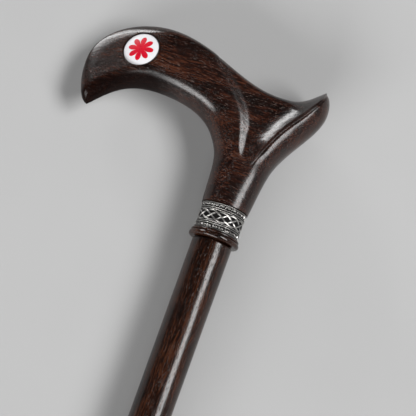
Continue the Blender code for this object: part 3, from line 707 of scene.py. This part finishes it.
def key_mask(turn, height):
    """Meander in the border: a hooked stroke in each of the repeats around the collar."""
    width = 2 * math.pi * COLLAR_RADIUS / KEY_COUNT
    x = (turn * KEY_COUNT / (2 * math.pi)) % 1.0 * width
    low, high = KEY_BAND
    y = (np.abs(height) - low) / (high - low)
    rows = high - low
    soft = KEY_STROKE * KEY_SOFTNESS
    mask = np.zeros_like(turn)
    for x0, y0, x1, y1 in KEY_STROKES:
        inside_x = bar(x - (x0 + x1) / 2 * width, abs(x1 - x0) / 2 * width + KEY_STROKE, soft)
        inside_y = bar((y - (y0 + y1) / 2) * rows, abs(y1 - y0) / 2 * rows + KEY_STROKE, soft)
        mask = np.maximum(mask, inside_x * inside_y)
    return mask


def round_bar(across, half):
    """Height of a half-round bar with a given half width, as a share of its middle."""
    return np.sqrt(np.maximum(1 - (across / half) ** 2, 0))


def weave_height(phase):
    """How high a strand rides at a phase of its wave, over and under the ones that it crosses."""
    stops = np.radians((0, 45, 135, 180, 225, 315, 360))
    rides = np.array((1, -1, 1, -1, 1, -1, 1))
    phase = phase % (2 * math.pi)
    after = np.clip(np.searchsorted(stops, phase, side="right"), 1, len(stops) - 1)
    share = smooth_step(stops[after - 1], stops[after], phase)
    return rides[after - 1] * (1 - share) + rides[after] * share


def collar_relief(turn, height):
    """Height of the casting over its floor: woven strands, raised lines and a meander border."""
    layers = []
    for strand in range(STRANDS):
        phase = STRAND_WAVES * turn + 2 * math.pi * strand / STRANDS
        slope = STRAND_REACH * STRAND_WAVES / COLLAR_RADIUS * np.cos(phase)
        across = (height - STRAND_REACH * np.sin(phase)) / np.sqrt(1 + slope ** 2)
        body = round_bar(across, STRAND_HALF)
        ride = STRAND_RISE + WEAVE_RISE * weave_height(phase)
        strand_height = ride * (STRAND_SHOULDER + (1 - STRAND_SHOULDER) * body)
        layers.append(np.where(body > 0, strand_height, 0))
    away = np.abs(height)
    plate = smooth_step(BORDER_EDGE - LINE_HALF, BORDER_EDGE, away)
    layers += [LINE_RISE * round_bar(away - place, LINE_HALF) for place in LINE_PLACES]
    layers.append(RIM_RISE * round_bar(away - BORDER_RIM, RIM_HALF))
    layers.append(np.maximum(BORDER_RISE, KEY_RISE * key_mask(turn, height)) * plate)
    return np.maximum.reduce(layers)


def make_collar():
    """Cast sleeve with its relief modelled in the mesh, a plain bore and flat end faces."""
    turn = np.linspace(0, 2 * math.pi, COLLAR_TURN_STEPS, endpoint=False)
    height = np.linspace(COLLAR_LENGTH / 2, -COLLAR_LENGTH / 2, COLLAR_STEPS)
    grid_turn, grid_height = np.meshgrid(turn, height)
    radius = COLLAR_FLOOR + collar_relief(grid_turn, grid_height)
    inner = np.full(COLLAR_TURN_STEPS, COLLAR_BORE)
    rows = [(COLLAR_LENGTH / 2, inner), *zip(height, radius), (-COLLAR_LENGTH / 2, inner)]
    points = []
    for place, ring in rows:
        points += zip(ring * np.cos(turn), ring * np.sin(turn), np.full(COLLAR_TURN_STEPS, place))
    faces = []
    for row in range(len(rows)):
        low = row * COLLAR_TURN_STEPS
        high = (row + 1) % len(rows) * COLLAR_TURN_STEPS
        for i in range(COLLAR_TURN_STEPS):
            j = (i + 1) % COLLAR_TURN_STEPS
            faces.append((low + i, high + i, high + j, low + j))
    mesh = mesh_from("cast_collar", points, faces=faces)
    collar = new_piece("cast_collar", mesh, along_axis(COLLAR_MIDDLE))
    sharpen(collar, lambda spot: abs(spot.z) > COLLAR_LENGTH / 2 - FINE_GAP)
    return collar


def make_ring():
    """Turned wooden ring: a slim bead over a full one, with a groove between them."""
    profile = [(COLLAR_BORE, 0), (COLLAR_RADIUS - 4 * FINE_GAP, 0)]
    slim = RING_SLIM_BEAD / 2
    full = RING_FULL_BEAD / 2
    beads = (
        (slim, -slim, RING_RADIUS - RING_SLIM_INSET),
        (full, -2 * slim - full, RING_RADIUS),
    )
    for bead, middle, outer in beads:
        for step in range(BEAD_STEPS + 1):
            angle = math.radians(BEAD_ARC - 2 * BEAD_ARC * step / BEAD_STEPS)
            profile.append((outer - bead + bead * math.cos(angle), middle + bead * math.sin(angle)))
    length = RING_SLIM_BEAD + RING_FULL_BEAD
    profile += [(SHAFT_TOP_RADIUS, -length), (COLLAR_BORE, -length)]
    ring = turned("turned_ring", profile, along_axis(RING_TOP), closed=True)
    sharpen(ring)
    return ring


def make_shaft():
    """Tapered stick with a bored tenon at its upper end and eased edges."""
    profile = [
        (0, SHAFT_TOP),
        (TENON_RADIUS, SHAFT_TOP),
        (TENON_RADIUS, SHAFT_SHOULDER),
        (SHAFT_TOP_RADIUS - SHAFT_CHAMFER, SHAFT_SHOULDER),
        (SHAFT_TOP_RADIUS, SHAFT_SHOULDER - SHAFT_CHAMFER),
        (SHAFT_END_RADIUS, TIP_TOP),
        (SHAFT_END_RADIUS, SHAFT_END + SHAFT_CHAMFER),
        (SHAFT_END_RADIUS - SHAFT_CHAMFER, SHAFT_END),
        (0, SHAFT_END),
    ]
    eased = rounded(profile, SHAFT_ROUNDING)
    shaft = turned("tapered_shaft", eased, along_axis(0.0), FINE_ROUND_STEPS)
    bore(shaft, SHAFT_TOP, -1)
    sharpen(shaft)
    return shaft


def tip_profile():
    """Ferrule from the socket's floor over the rim, down the ribbed sleeve and flare to the foot."""
    socket = SHAFT_END_RADIUS + FIT_GAP
    sleeve = socket + TIP_WALL
    foot = sleeve + TIP_FLARE
    rim = sleeve + TIP_RIM_SWELL
    rib = sleeve + TIP_RIB_SWELL
    place = TIP_HEIGHT - TIP_RIM_HEIGHT
    profile = [(0, TIP_FLOOR), (socket, TIP_FLOOR), (socket, TIP_HEIGHT)]
    profile += [(sleeve, TIP_HEIGHT), (rim, TIP_HEIGHT - TIP_RIM_BEVEL)]
    profile += [(rim, place + TIP_RIM_BEVEL), (sleeve, place)]
    for _ in range(TIP_RIBS):
        place -= TIP_RIB_PITCH
        profile += [(sleeve, place + 3 * TIP_RIB_LAND), (rib, place + 2 * TIP_RIB_LAND)]
        profile += [(rib, place + TIP_RIB_LAND), (sleeve, place)]
    for step in range(TIP_FLARE_STEPS + 1):
        angle = math.pi / 2 * step / TIP_FLARE_STEPS
        drop = (TIP_FLARE_HEIGHT - TIP_FOOT_HEIGHT) * math.sin(angle)
        profile.append((sleeve + TIP_FLARE * (1 - math.cos(angle)), TIP_FLARE_HEIGHT - drop))
    profile += [(foot, TIP_TREAD_DEPTH), (foot - TIP_TREAD_DEPTH, 0)]
    tread = TIP_PAD_RADIUS + TIP_TREAD_WIDTH
    profile += [(tread, 0), (tread, TIP_TREAD_DEPTH)]
    profile += [(TIP_PAD_RADIUS, TIP_TREAD_DEPTH), (TIP_PAD_RADIUS, 0), (0, 0)]
    return profile


def make_tip():
    tip = turned("rubber_ferrule", rounded(tip_profile(), TIP_ROUNDING), along_axis(GROUND))
    sharpen(tip)
    return tip


class Shader:
    """Short forms for the nodes of one material, or of the world."""

    def __init__(self, owner, surface="Principled BSDF"):
        owner.use_nodes = True
        self.owner = owner
        self.tree = owner.node_tree
        self.surface = self.tree.nodes[surface]

    def link(self, source, target):
        """Feed a socket from another node's output, or set it to a fixed value."""
        if hasattr(source, "is_output"):
            self.tree.links.new(source, target)
        else:
            target.default_value = source

    def feed(self, node, inputs):
        """Fill a node's inputs by name, where an underscore stands for a space."""
        for name, value in inputs.items():
            self.link(value, node.inputs[name.replace("_", " ")])

    def node(self, kind, settings=None, **inputs):
        made = self.tree.nodes.new(kind)
        for name, value in (settings or {}).items():
            setattr(made, name, value)
        self.feed(made, inputs)
        return made

    def set(self, **inputs):
        self.feed(self.surface, inputs)

    def coordinates(self, turn=(0, 0, 0)):
        """Place on the piece in millimetres, turned so that X runs along the grain."""
        return self.stretch(self.node("ShaderNodeTexCoord").outputs["Object"], 1 / MM, turn)

    def stretch(self, vector, scale, turn=(0, 0, 0)):
        """Scale a vector alike in all directions or in each its own way, then turn it by degrees."""
        scales = [scale] * 3 if isinstance(scale, float) else scale
        angles = [math.radians(angle) for angle in turn]
        made = self.node("ShaderNodeMapping", Vector=vector, Scale=scales, Rotation=angles)
        return made.outputs["Vector"]

    def noise(self, vector, scale, detail=3.0, roughness=0.5, distortion=0.0, output="Fac"):
        shape = {"Scale": 1.0, "Detail": detail, "Roughness": roughness, "Distortion": distortion}
        return self.node("ShaderNodeTexNoise", Vector=self.stretch(vector, scale), **shape).outputs[output]

    def pair(self, kind, settings, first, second):
        made = self.node(kind, settings)
        self.link(first, made.inputs[0])
        self.link(second, made.inputs[1])
        return made.outputs[0]

    def math(self, operation, first, second=0.0, clamp=False):
        return self.pair("ShaderNodeMath", {"operation": operation, "use_clamp": clamp}, first, second)

    def vector(self, operation, first, second):
        return self.pair("ShaderNodeVectorMath", {"operation": operation}, first, second)

    def add(self, total, *others):
        for other in others:
            total = self.math("ADD", total, other)
        return total

    def times(self, value, share):
        return self.math("MULTIPLY", value, share)

    def rest(self, share):
        """What a share leaves of one."""
        return self.math("SUBTRACT", 1.0, share)

    def distance(self, first, second):
        """Length of the line that two sides at a right angle span."""
        squares = [self.math("POWER", side, 2.0) for side in (first, second)]
        return self.math("SQRT", self.add(*squares))

    def span(self, value, low, high, start=0.0, end=1.0, kind="SMOOTHSTEP"):
        """Value from low to high spread from start to end, smoothly unless another kind is named."""
        ends = {"From_Min": low, "From_Max": high, "To_Min": start, "To_Max": end}
        made = self.node("ShaderNodeMapRange", {"interpolation_type": kind}, Value=value, **ends)
        return made.outputs["Result"]

    def ramp(self, value, stops):
        made = self.node("ShaderNodeValToRGB", Fac=value)
        elements = made.color_ramp.elements
        while len(elements) < len(stops):
            elements.new(0.5)
        for element, (place, color) in zip(elements, stops):
            element.position = place
            element.color = (*color, 1.0)
        return made.outputs["Color"]

    def mix(self, share, first, second):
        """Blend of two colours, which the Mix node takes at its inputs 6 and 7 and gives at output 2."""
        made = self.node("ShaderNodeMix", {"data_type": "RGBA"})
        self.link(share, made.inputs[0])
        for value, socket in ((first, made.inputs[6]), (second, made.inputs[7])):
            self.link((*value, 1.0) if isinstance(value, tuple) else value, socket)
        return made.outputs[2]

    def bump(self, height, distance, normal=None):
        """Normal of a surface raised by a height map, over another normal where one is given."""
        made = self.node("ShaderNodeBump", Height=height, Distance=distance, Strength=1.0)
        if normal is not None:
            self.link(normal, made.inputs["Normal"])
        return made.outputs["Normal"]

    def pointiness(self, low, high, most):
        """Zero on flat and hollow places, rising to the given share on sharp edges."""
        point = self.node("ShaderNodeNewGeometry").outputs["Pointiness"]
        return self.span(point, low, high, 0.0, most)


def painted_beak_shade(shader):
    """One on the concave underside of the beak, where shade is painted into the wood, and zero elsewhere.
    """
    place = shader.node("ShaderNodeSeparateXYZ", Vector=shader.coordinates())
    height = shader.math("SUBTRACT", place.outputs["X"], BEAK_ARC_HEIGHT / MM)
    forward = shader.math("SUBTRACT", place.outputs["Y"], BEAK_ARC_FORWARD / MM)
    away = shader.distance(height, forward)
    inside = shader.span(away, *(radius / MM for radius in BEAK_ARC_RADII), 1.0, 0.0)
    ahead = shader.span(place.outputs["Y"], *(reach / MM for reach in BEAK_PAINTED_SHADE_SPAN))
    return shader.times(inside, ahead)


# Where most values of a noise lie, and the height in metres of marks too fine to see
NOISE_SPAN = (0.3, 0.7)
FINE_BUMP = 0.00001

# Wood: how fine each noise is along and across the grain, as waves in a millimetre
DRIFT_SCALE = (0.018, 0.045, 0.045)
LAYER_SCALE = (0.016, 0.075, 0.62)
FIBRE_SCALE = (0.13, 1.5, 1.5)
PATCH_SCALE = (0.030, 0.09, 0.09)
PORE_SCALE = (0.42, 3.6, 3.6)
# the next scale is for pale specks that are painted glints of light
PAINTED_GLINT_SCALE = (0.38, 1.9, 1.9)
GROUP_SCALE = (0.10, 0.16, 0.16)
RIPPLE_SCALE = (0.03, 0.10, 0.46)

# Wood: millimetres that the grain drifts, shares of the tone, and where each mark starts and is full
DRIFT_REACH = (0.0, 5.0, 5.0)
LAYER_SHARE = 0.34
FIBRE_SHARE = 0.62
PATCH_SHARE = 0.30
DASH_SPAN = (0.55, 0.64)
PORE_SPAN = (0.62, 0.72)
PAINTED_GLINT_SPAN = (0.60, 0.70)
GROUP_SPAN = (0.42, 0.60, 0.25, 1.0)
RUBBED_SPAN = (0.53, 0.62)

# Wood: colour of each mark, how much of the tone it covers, and what it does to the lacquer
DASH_COLOR = (0.0060, 0.0028, 0.0020)
DASH_COVER = 0.85
PORE_COLOR = (0.0050, 0.0022, 0.0016)
PORE_COVER = 0.6
# colour of the pale specks that are painted glints of light
PAINTED_GLINT_COLOR = (0.120, 0.092, 0.080)
RUBBED_COLOR = (0.070, 0.036, 0.024)
# painted shade under the beak: its colour, how much of the tone it covers, and how much lacquer it takes
# away
PAINTED_SHADE_COLOR = (0.0030, 0.0012, 0.0010)
PAINTED_SHADE_COVER = 0.85
PAINTED_SHADE_COAT_LOSS = 0.75
WOOD_ROUGHNESS = (0.34, 0.46)
PORE_ROUGHNESS = 0.22
LACQUER_IOR = 1.42

# Wood: heights of the bumps in metres
RIPPLE_BUMP = 0.00016
DASH_BUMP = 0.00003
PORE_BUMP = 0.00005
COAT_RIPPLE_BUMP = 0.00012
COAT_PORE_BUMP = 0.00004

# Woods: turns of grain and layers in degrees, tones from dark to light, and dashes in millimetres
HANDLE_WOOD = {
    "grain_turn": (0, 0, -90),
    "layer_turn": (32, 0, 0),
    "tones": (
        (0.50, (0.0018, 0.0006, 0.0004)),
        (0.59, (0.0075, 0.0023, 0.0014)),
        (0.67, (0.0215, 0.0064, 0.0036)),
        (0.79, (0.0580, 0.0185, 0.0090)),
    ),
    "lighten": 0.0,
    "dash": (5.0, 0.95),
    "painted_glints": 0.62,
    "rubbed": 0.35,
    "gloss": 0.21,
    # painted shade under the beak
    "shade": painted_beak_shade,
}
SHAFT_WOOD = {
    "grain_turn": (0, 90, 0),
    "layer_turn": (20, 0, 0),
    "tones": (
        (0.52, (0.0008, 0.0003, 0.0002)),
        (0.60, (0.0070, 0.0021, 0.0010)),
        (0.68, (0.0230, 0.0070, 0.0030)),
        (0.80, (0.0460, 0.0150, 0.0065)),
    ),
    "lighten": 0.01,
    "dash": (9.0, 1.30),
    "painted_glints": 0.15,
    "rubbed": 0.15,
    "gloss": 0.18,
}
RING_WOOD = {
    **SHAFT_WOOD,
    "lighten": 0.035,
    "dash": (7.0, 0.60),
    "painted_glints": 0.0,
    "rubbed": 0.0,
    "gloss": 0.12,
}

# Pewter: millimetres over the collar's floor where it turns bright, and its looks from dull to bright
PEWTER_SPAN = (0.14, 0.46)
PEWTER_ROUGHNESS = (0.62, 0.20)
PEWTER_METALLIC = (0.55, 1.0)
PEWTER_TONES = ((0.30, (0.32, 0.31, 0.295)), (0.70, (0.58, 0.57, 0.55)))
PEWTER_GRIME = (0.006, 0.0055, 0.0055)
GRIME_REACH = 0.16
SCRATCH_ROUGHNESS = 0.16

# Enamels: colour and what its clouds leave of it, and the roughness of their skin
WHITE_ENAMEL = ((0.70, 0.69, 0.71), 0.965)
RED_ENAMEL = ((0.56, 0.005, 0.022), 0.86)
ENAMEL_ROUGHNESS = (0.24, 0.34)

# Metals: dark and light tone, least and most roughness, and turning marks in a millimetre
BLACKENED = ((0.030, 0.030, 0.032), (0.075, 0.073, 0.070), (0.30, 0.45), 3.0)
ZINC = ((0.42, 0.43, 0.45), (0.60, 0.60, 0.60), (0.28, 0.42), 6.0)
BRASS = ((0.52, 0.35, 0.13), (0.72, 0.52, 0.22), (0.26, 0.40), 6.0)
STEEL = ((0.36, 0.37, 0.39), (0.56, 0.56, 0.57), (0.32, 0.48), 2.0)

# Rubber: its colours, and how far the dust reaches up from the sole, in millimetres
RUBBER_COLOR = (0.009, 0.009, 0.0095)
DUST_COLOR = (0.070, 0.066, 0.061)
SCUFF_COLOR = (0.050, 0.048, 0.046)
SOLE_REACH = 9.0
SOLE_DUST = 0.45
EVERYWHERE_DUST = 0.08
RUBBER_ROUGHNESS = (0.54, 0.72)


def wood(name, grain_turn, layer_turn, tones, lighten, dash, painted_glints, rubbed, gloss, shade=None):
    """Dark streaked hardwood under gloss lacquer: layered tones, fine fibres, open pores and dashes, with
    painted glints, and painted shade where one is given.
    """
    shader = Shader(bpy.data.materials.new(name))
    raw = shader.coordinates(grain_turn)
    drift = shader.noise(raw, DRIFT_SCALE, detail=2.0, output="Color")
    drift = shader.vector("SUBTRACT", drift, (0.5, 0.5, 0.5))
    drift = shader.vector("MULTIPLY", drift, DRIFT_REACH)
    grain = shader.vector("ADD", raw, drift)
    layered = shader.stretch(grain, 1.0, layer_turn)

    # broad layers of the yearly growth, fine fibres, and wide patches that are redder or blacker
    layers = shader.noise(layered, LAYER_SCALE, roughness=0.55)
    fibres = shader.noise(grain, FIBRE_SCALE, roughness=0.6)
    patches = shader.noise(grain, PATCH_SCALE, detail=1.0)
    tone = shader.add(
        shader.times(layers, LAYER_SHARE),
        shader.times(fibres, FIBRE_SHARE),
        shader.times(patches, PATCH_SHARE),
        lighten,
    )
    color = shader.ramp(tone, tones)

    # long black dashes, finer pores that break the lacquer, and pale specks in loose groups, painted glints
    # of light
    length, width = dash
    dash_noise = shader.noise(grain, (1 / length, 1 / width, 1 / width), detail=2.0, roughness=0.45)
    dashes = shader.span(dash_noise, *DASH_SPAN)
    color = shader.mix(shader.times(dashes, DASH_COVER), color, DASH_COLOR)
    pores = shader.span(shader.noise(grain, PORE_SCALE, detail=1.0, roughness=0.4), *PORE_SPAN)
    color = shader.mix(shader.times(pores, PORE_COVER), color, PORE_COLOR)
    glint_noise = shader.noise(grain, PAINTED_GLINT_SCALE, detail=2.0, roughness=0.55, distortion=0.3)
    groups = shader.span(shader.noise(grain, GROUP_SCALE, detail=1.0), *GROUP_SPAN)
    painted_glint = shader.times(shader.span(glint_noise, *PAINTED_GLINT_SPAN), groups)
    color = shader.mix(shader.times(painted_glint, painted_glints), color, PAINTED_GLINT_COLOR)

    # edges rubbed a little paler by the hand, and painted shade where one is given: colour darkened and
    # lacquer thinned
    color = shader.mix(shader.pointiness(*RUBBED_SPAN, rubbed), color, RUBBED_COLOR)
    coat = 1.0
    if shade is not None:
        dark = shade(shader)
        color = shader.mix(shader.times(dark, PAINTED_SHADE_COVER), color, PAINTED_SHADE_COLOR)
        coat = shader.rest(shader.times(dark, PAINTED_SHADE_COAT_LOSS))

    rough = shader.span(fibres, *NOISE_SPAN, *WOOD_ROUGHNESS)
    rough = shader.math("ADD", rough, shader.times(pores, PORE_ROUGHNESS), clamp=True)
    ripple = shader.noise(layered, RIPPLE_SCALE, detail=2.0)
    normal = shader.bump(ripple, RIPPLE_BUMP)
    normal = shader.bump(shader.rest(dashes), DASH_BUMP, normal)
    normal = shader.bump(shader.rest(pores), PORE_BUMP, normal)
    coat_normal = shader.bump(shader.rest(pores), COAT_PORE_BUMP, shader.bump(ripple, COAT_RIPPLE_BUMP))
    shader.set(Base_Color=color, Roughness=rough, Normal=normal, Specular_IOR_Level=0.0)
    shader.set(Coat_Weight=coat, Coat_Roughness=gloss, Coat_IOR=LACQUER_IOR, Coat_Normal=coat_normal)
    return shader.owner


def pewter():
    """Cast white metal: rubbed bright on the relief, blackened and dull in the recesses."""
    shader = Shader(bpy.data.materials.new("antique_pewter"))
    place = shader.coordinates()
    parts = shader.node("ShaderNodeSeparateXYZ", Vector=place)
    radius = shader.distance(parts.outputs["X"], parts.outputs["Y"])
    grime = shader.noise(place, 0.9, detail=4.0, roughness=0.6)
    level = shader.add(radius, shader.times(shader.math("SUBTRACT", grime, 0.5), GRIME_REACH))
    bright = shader.span(level, *(COLLAR_FLOOR / MM + rise for rise in PEWTER_SPAN))
    color = shader.mix(bright, PEWTER_GRIME, shader.ramp(grime, PEWTER_TONES))
    scratches = shader.noise(place, (2.2, 2.2, 7.0), detail=5.0, roughness=0.65)
    dull = shader.span(bright, 0.0, 1.0, *PEWTER_ROUGHNESS)
    rough = shader.add(dull, shader.times(scratches, SCRATCH_ROUGHNESS))
    metallic = shader.span(bright, 0.0, 0.6, *PEWTER_METALLIC)
    shader.set(Base_Color=color, Roughness=rough, Metallic=metallic, Specular_IOR_Level=0.2)
    shader.set(Normal=shader.bump(scratches, 2 * FINE_BUMP))
    return shader.owner


def enamel(name, color, depth):
    """Domed enamel: nearly even colour with a faint cloud, and a glassy skin with fine orange peel."""
    shader = Shader(bpy.data.materials.new(name))
    place = shader.coordinates()
    cloud = shader.noise(place, 0.35)
    darker = tuple(value * depth for value in color)
    peel = shader.noise(place, 1.1, detail=2.0)
    shader.set(Base_Color=shader.mix(shader.span(cloud, *NOISE_SPAN), darker, color))
    shader.set(Roughness=shader.span(peel, 0.2, 0.8, *ENAMEL_ROUGHNESS), Specular_IOR_Level=0.12)
    shader.set(Normal=shader.bump(peel, FINE_BUMP))
    return shader.owner


def metal(name, dark, light, roughness, turn_marks):
    """Turned or plated metal: cloudy tone, and fine marks that run round the piece."""
    shader = Shader(bpy.data.materials.new(name))
    place = shader.coordinates()
    cloud = shader.noise(place, 0.5, detail=4.0, roughness=0.6)
    marks = shader.noise(place, (turn_marks, 0.25, 0.25), roughness=0.6)
    shader.set(Base_Color=shader.mix(shader.span(cloud, *NOISE_SPAN), dark, light), Metallic=1.0)
    shader.set(Roughness=shader.span(cloud, 0.25, 0.75, *roughness), Normal=shader.bump(marks, FINE_BUMP))
    return shader.owner


def rubber():
    """Moulded black rubber with a fine grain, paler dust rubbed into the sole and scuffed edges."""
    shader = Shader(bpy.data.materials.new("black_rubber"))
    place = shader.coordinates()
    grain = shader.noise(place, 4.0, roughness=0.6)
    dust = shader.noise(place, 0.28, detail=5.0, roughness=0.65)
    height = shader.node("ShaderNodeSeparateXYZ", Vector=place).outputs["Z"]
    low = shader.span(height, 0.0, SOLE_REACH, 1.0, 0.0)
    dusty = shader.add(shader.times(low, SOLE_DUST), EVERYWHERE_DUST)
    dusty = shader.times(shader.span(dust, 0.42, 0.70), dusty)
    color = shader.mix(dusty, RUBBER_COLOR, DUST_COLOR)
    color = shader.mix(shader.pointiness(0.52, 0.60, 0.4), color, SCUFF_COLOR)
    rough = shader.span(dust, *NOISE_SPAN, *RUBBER_ROUGHNESS)
    shader.set(Base_Color=color, Roughness=rough, Specular_IOR_Level=0.35)
    shader.set(Normal=shader.bump(grain, 4 * FINE_BUMP))
    return shader.owner


def dress():
    """Make every piece, give it its material and body, and hide the CAD node it stands for."""
    bezel, disc, rosette = make_badge()
    made = (
        (make_handle(), wood("handle_wood", **HANDLE_WOOD), "cane", "handle", "handle_wood"),
        (bezel, metal("blackened_metal", *BLACKENED), "cane", "badge_bezel", "bezel_metal"),
        (disc, enamel("white_enamel", *WHITE_ENAMEL), "cane", "badge_disc", "white_enamel"),
        (rosette, enamel("red_enamel", *RED_ENAMEL), "cane", "badge_rosette", "red_enamel"),
        (make_collar(), pewter(), "cane", "collar", "pewter"),
        (make_ring(), wood("ring_wood", **RING_WOOD), "cane", "collar_ring", "ring_wood"),
        (make_shaft(), wood("shaft_wood", **SHAFT_WOOD), "cane", "shaft", "shaft_wood"),
        (make_tip(), rubber(), "ferrule", "rubber_tip", "tip_rubber"),
    )
    for piece, material, body, node, slot in made:
        piece.data.materials.clear()
        piece.data.materials.append(material)
        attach(piece, body)
        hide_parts(node)
    kept = (
        ("connecting_stud", metal("zinc_plating", *ZINC)),
        ("handle_bush", metal("handle_bush_brass", *BRASS)),
        ("shaft_bush", metal("shaft_bush_brass", *BRASS)),
        ("tip_washer", metal("washer_steel", *STEEL)),
    )
    for node, material in kept:
        data = frame["nodes"][node].data
        data.materials.clear()
        data.materials.append(material)


def camera_axes():
    """The photograph's right, up and forward directions in the cane's frame, and the eye's place."""
    forward = Vector((math.sin(CAMERA_TILT), 0, -math.cos(CAMERA_TILT)))
    along = Vector((math.cos(CAMERA_TILT), 0, math.sin(CAMERA_TILT)))
    nose = Vector((0, 1, 0))
    right = math.sin(CAMERA_ROLL) * along - math.cos(CAMERA_ROLL) * nose
    up = math.cos(CAMERA_ROLL) * along + math.sin(CAMERA_ROLL) * nose
    middle = FRAME_PIXELS / 2
    target = ((middle - NECK_PIXEL[0]) * right + (NECK_PIXEL[1] - middle) * up) * PIXEL
    return right, up, forward, target - CAMERA_DISTANCE * forward


RIGHT, UP, FORWARD, EYE = camera_axes()


def make_camera():
    data = bpy.data.cameras.new("photo_camera")
    data.sensor_width = SENSOR_WIDTH
    data.lens = CAMERA_DISTANCE / PIXEL * SENSOR_WIDTH / FRAME_PIXELS
    bpy.context.scene.camera = new_piece("photo_camera", data, standing(EYE, RIGHT, UP, -FORWARD))


def softbox(name, aside, above, width, height, radiance):
    """Rectangular lamp aimed at the picture's middle, off the line of sight, which its height runs from."""
    off = math.radians(math.hypot(aside, above))
    outward = (RIGHT * aside + UP * above).normalized()
    back = outward * math.sin(off) - FORWARD * math.cos(off)
    tall = outward * math.cos(off) + FORWARD * math.sin(off)
    place = EYE + FORWARD * CAMERA_DISTANCE + back * LAMP_DISTANCE
    data = bpy.data.lights.new(name, "AREA")
    data.shape = "RECTANGLE"
    data.size = width
    data.size_y = height
    data.energy = radiance * math.pi * width * height
    new_piece(name, data, standing(place, tall.cross(back), tall, back))


def make_world():
    """Studio that is darkest overhead, and at the horizon paler to the picture's right than to its left."""
    studio = Shader(bpy.data.worlds.new("studio"), "Background")
    direction = studio.node("ShaderNodeTexCoord").outputs["Generated"]
    parts = studio.node("ShaderNodeSeparateXYZ", Vector=direction).outputs
    horizon = studio.span(parts["Y"], *STUDIO_SIDE_SPAN, *STUDIO_SIDES, "LINEAR")
    strength = studio.span(parts["Z"], *STUDIO_RISE, horizon, STUDIO_OVERHEAD, "LINEAR")
    studio.set(Color=STUDIO_COLOR, Strength=strength)
    bpy.context.scene.world = studio.owner


def make_floor():
    """Plain pale studio floor, which the cane lies on."""
    mesh = bpy.data.meshes.new("floor")
    shape = bmesh.new()
    bmesh.ops.create_circle(shape, cap_ends=True, segments=FLOOR_SEGMENTS, radius=FLOOR_RADIUS)
    shape.to_mesh(mesh)
    shape.free()
    floor = bpy.data.objects.new("floor", mesh)
    bpy.context.scene.collection.objects.link(floor)
    shader = Shader(bpy.data.materials.new("pale_floor"))
    cloud = shader.noise(shader.coordinates(), FLOOR_CLOUD)
    shader.set(Base_Color=shader.mix(cloud, *FLOOR_TONES), Roughness=FLOOR_ROUGHNESS)
    mesh.materials.append(shader.owner)


def main():
    bpy.context.scene.view_settings.view_transform = "Standard"
    dress()
    make_floor()
    for name, settings in SOFTBOXES.items():
        softbox(name, *settings)
    make_world()
    make_camera()


main()
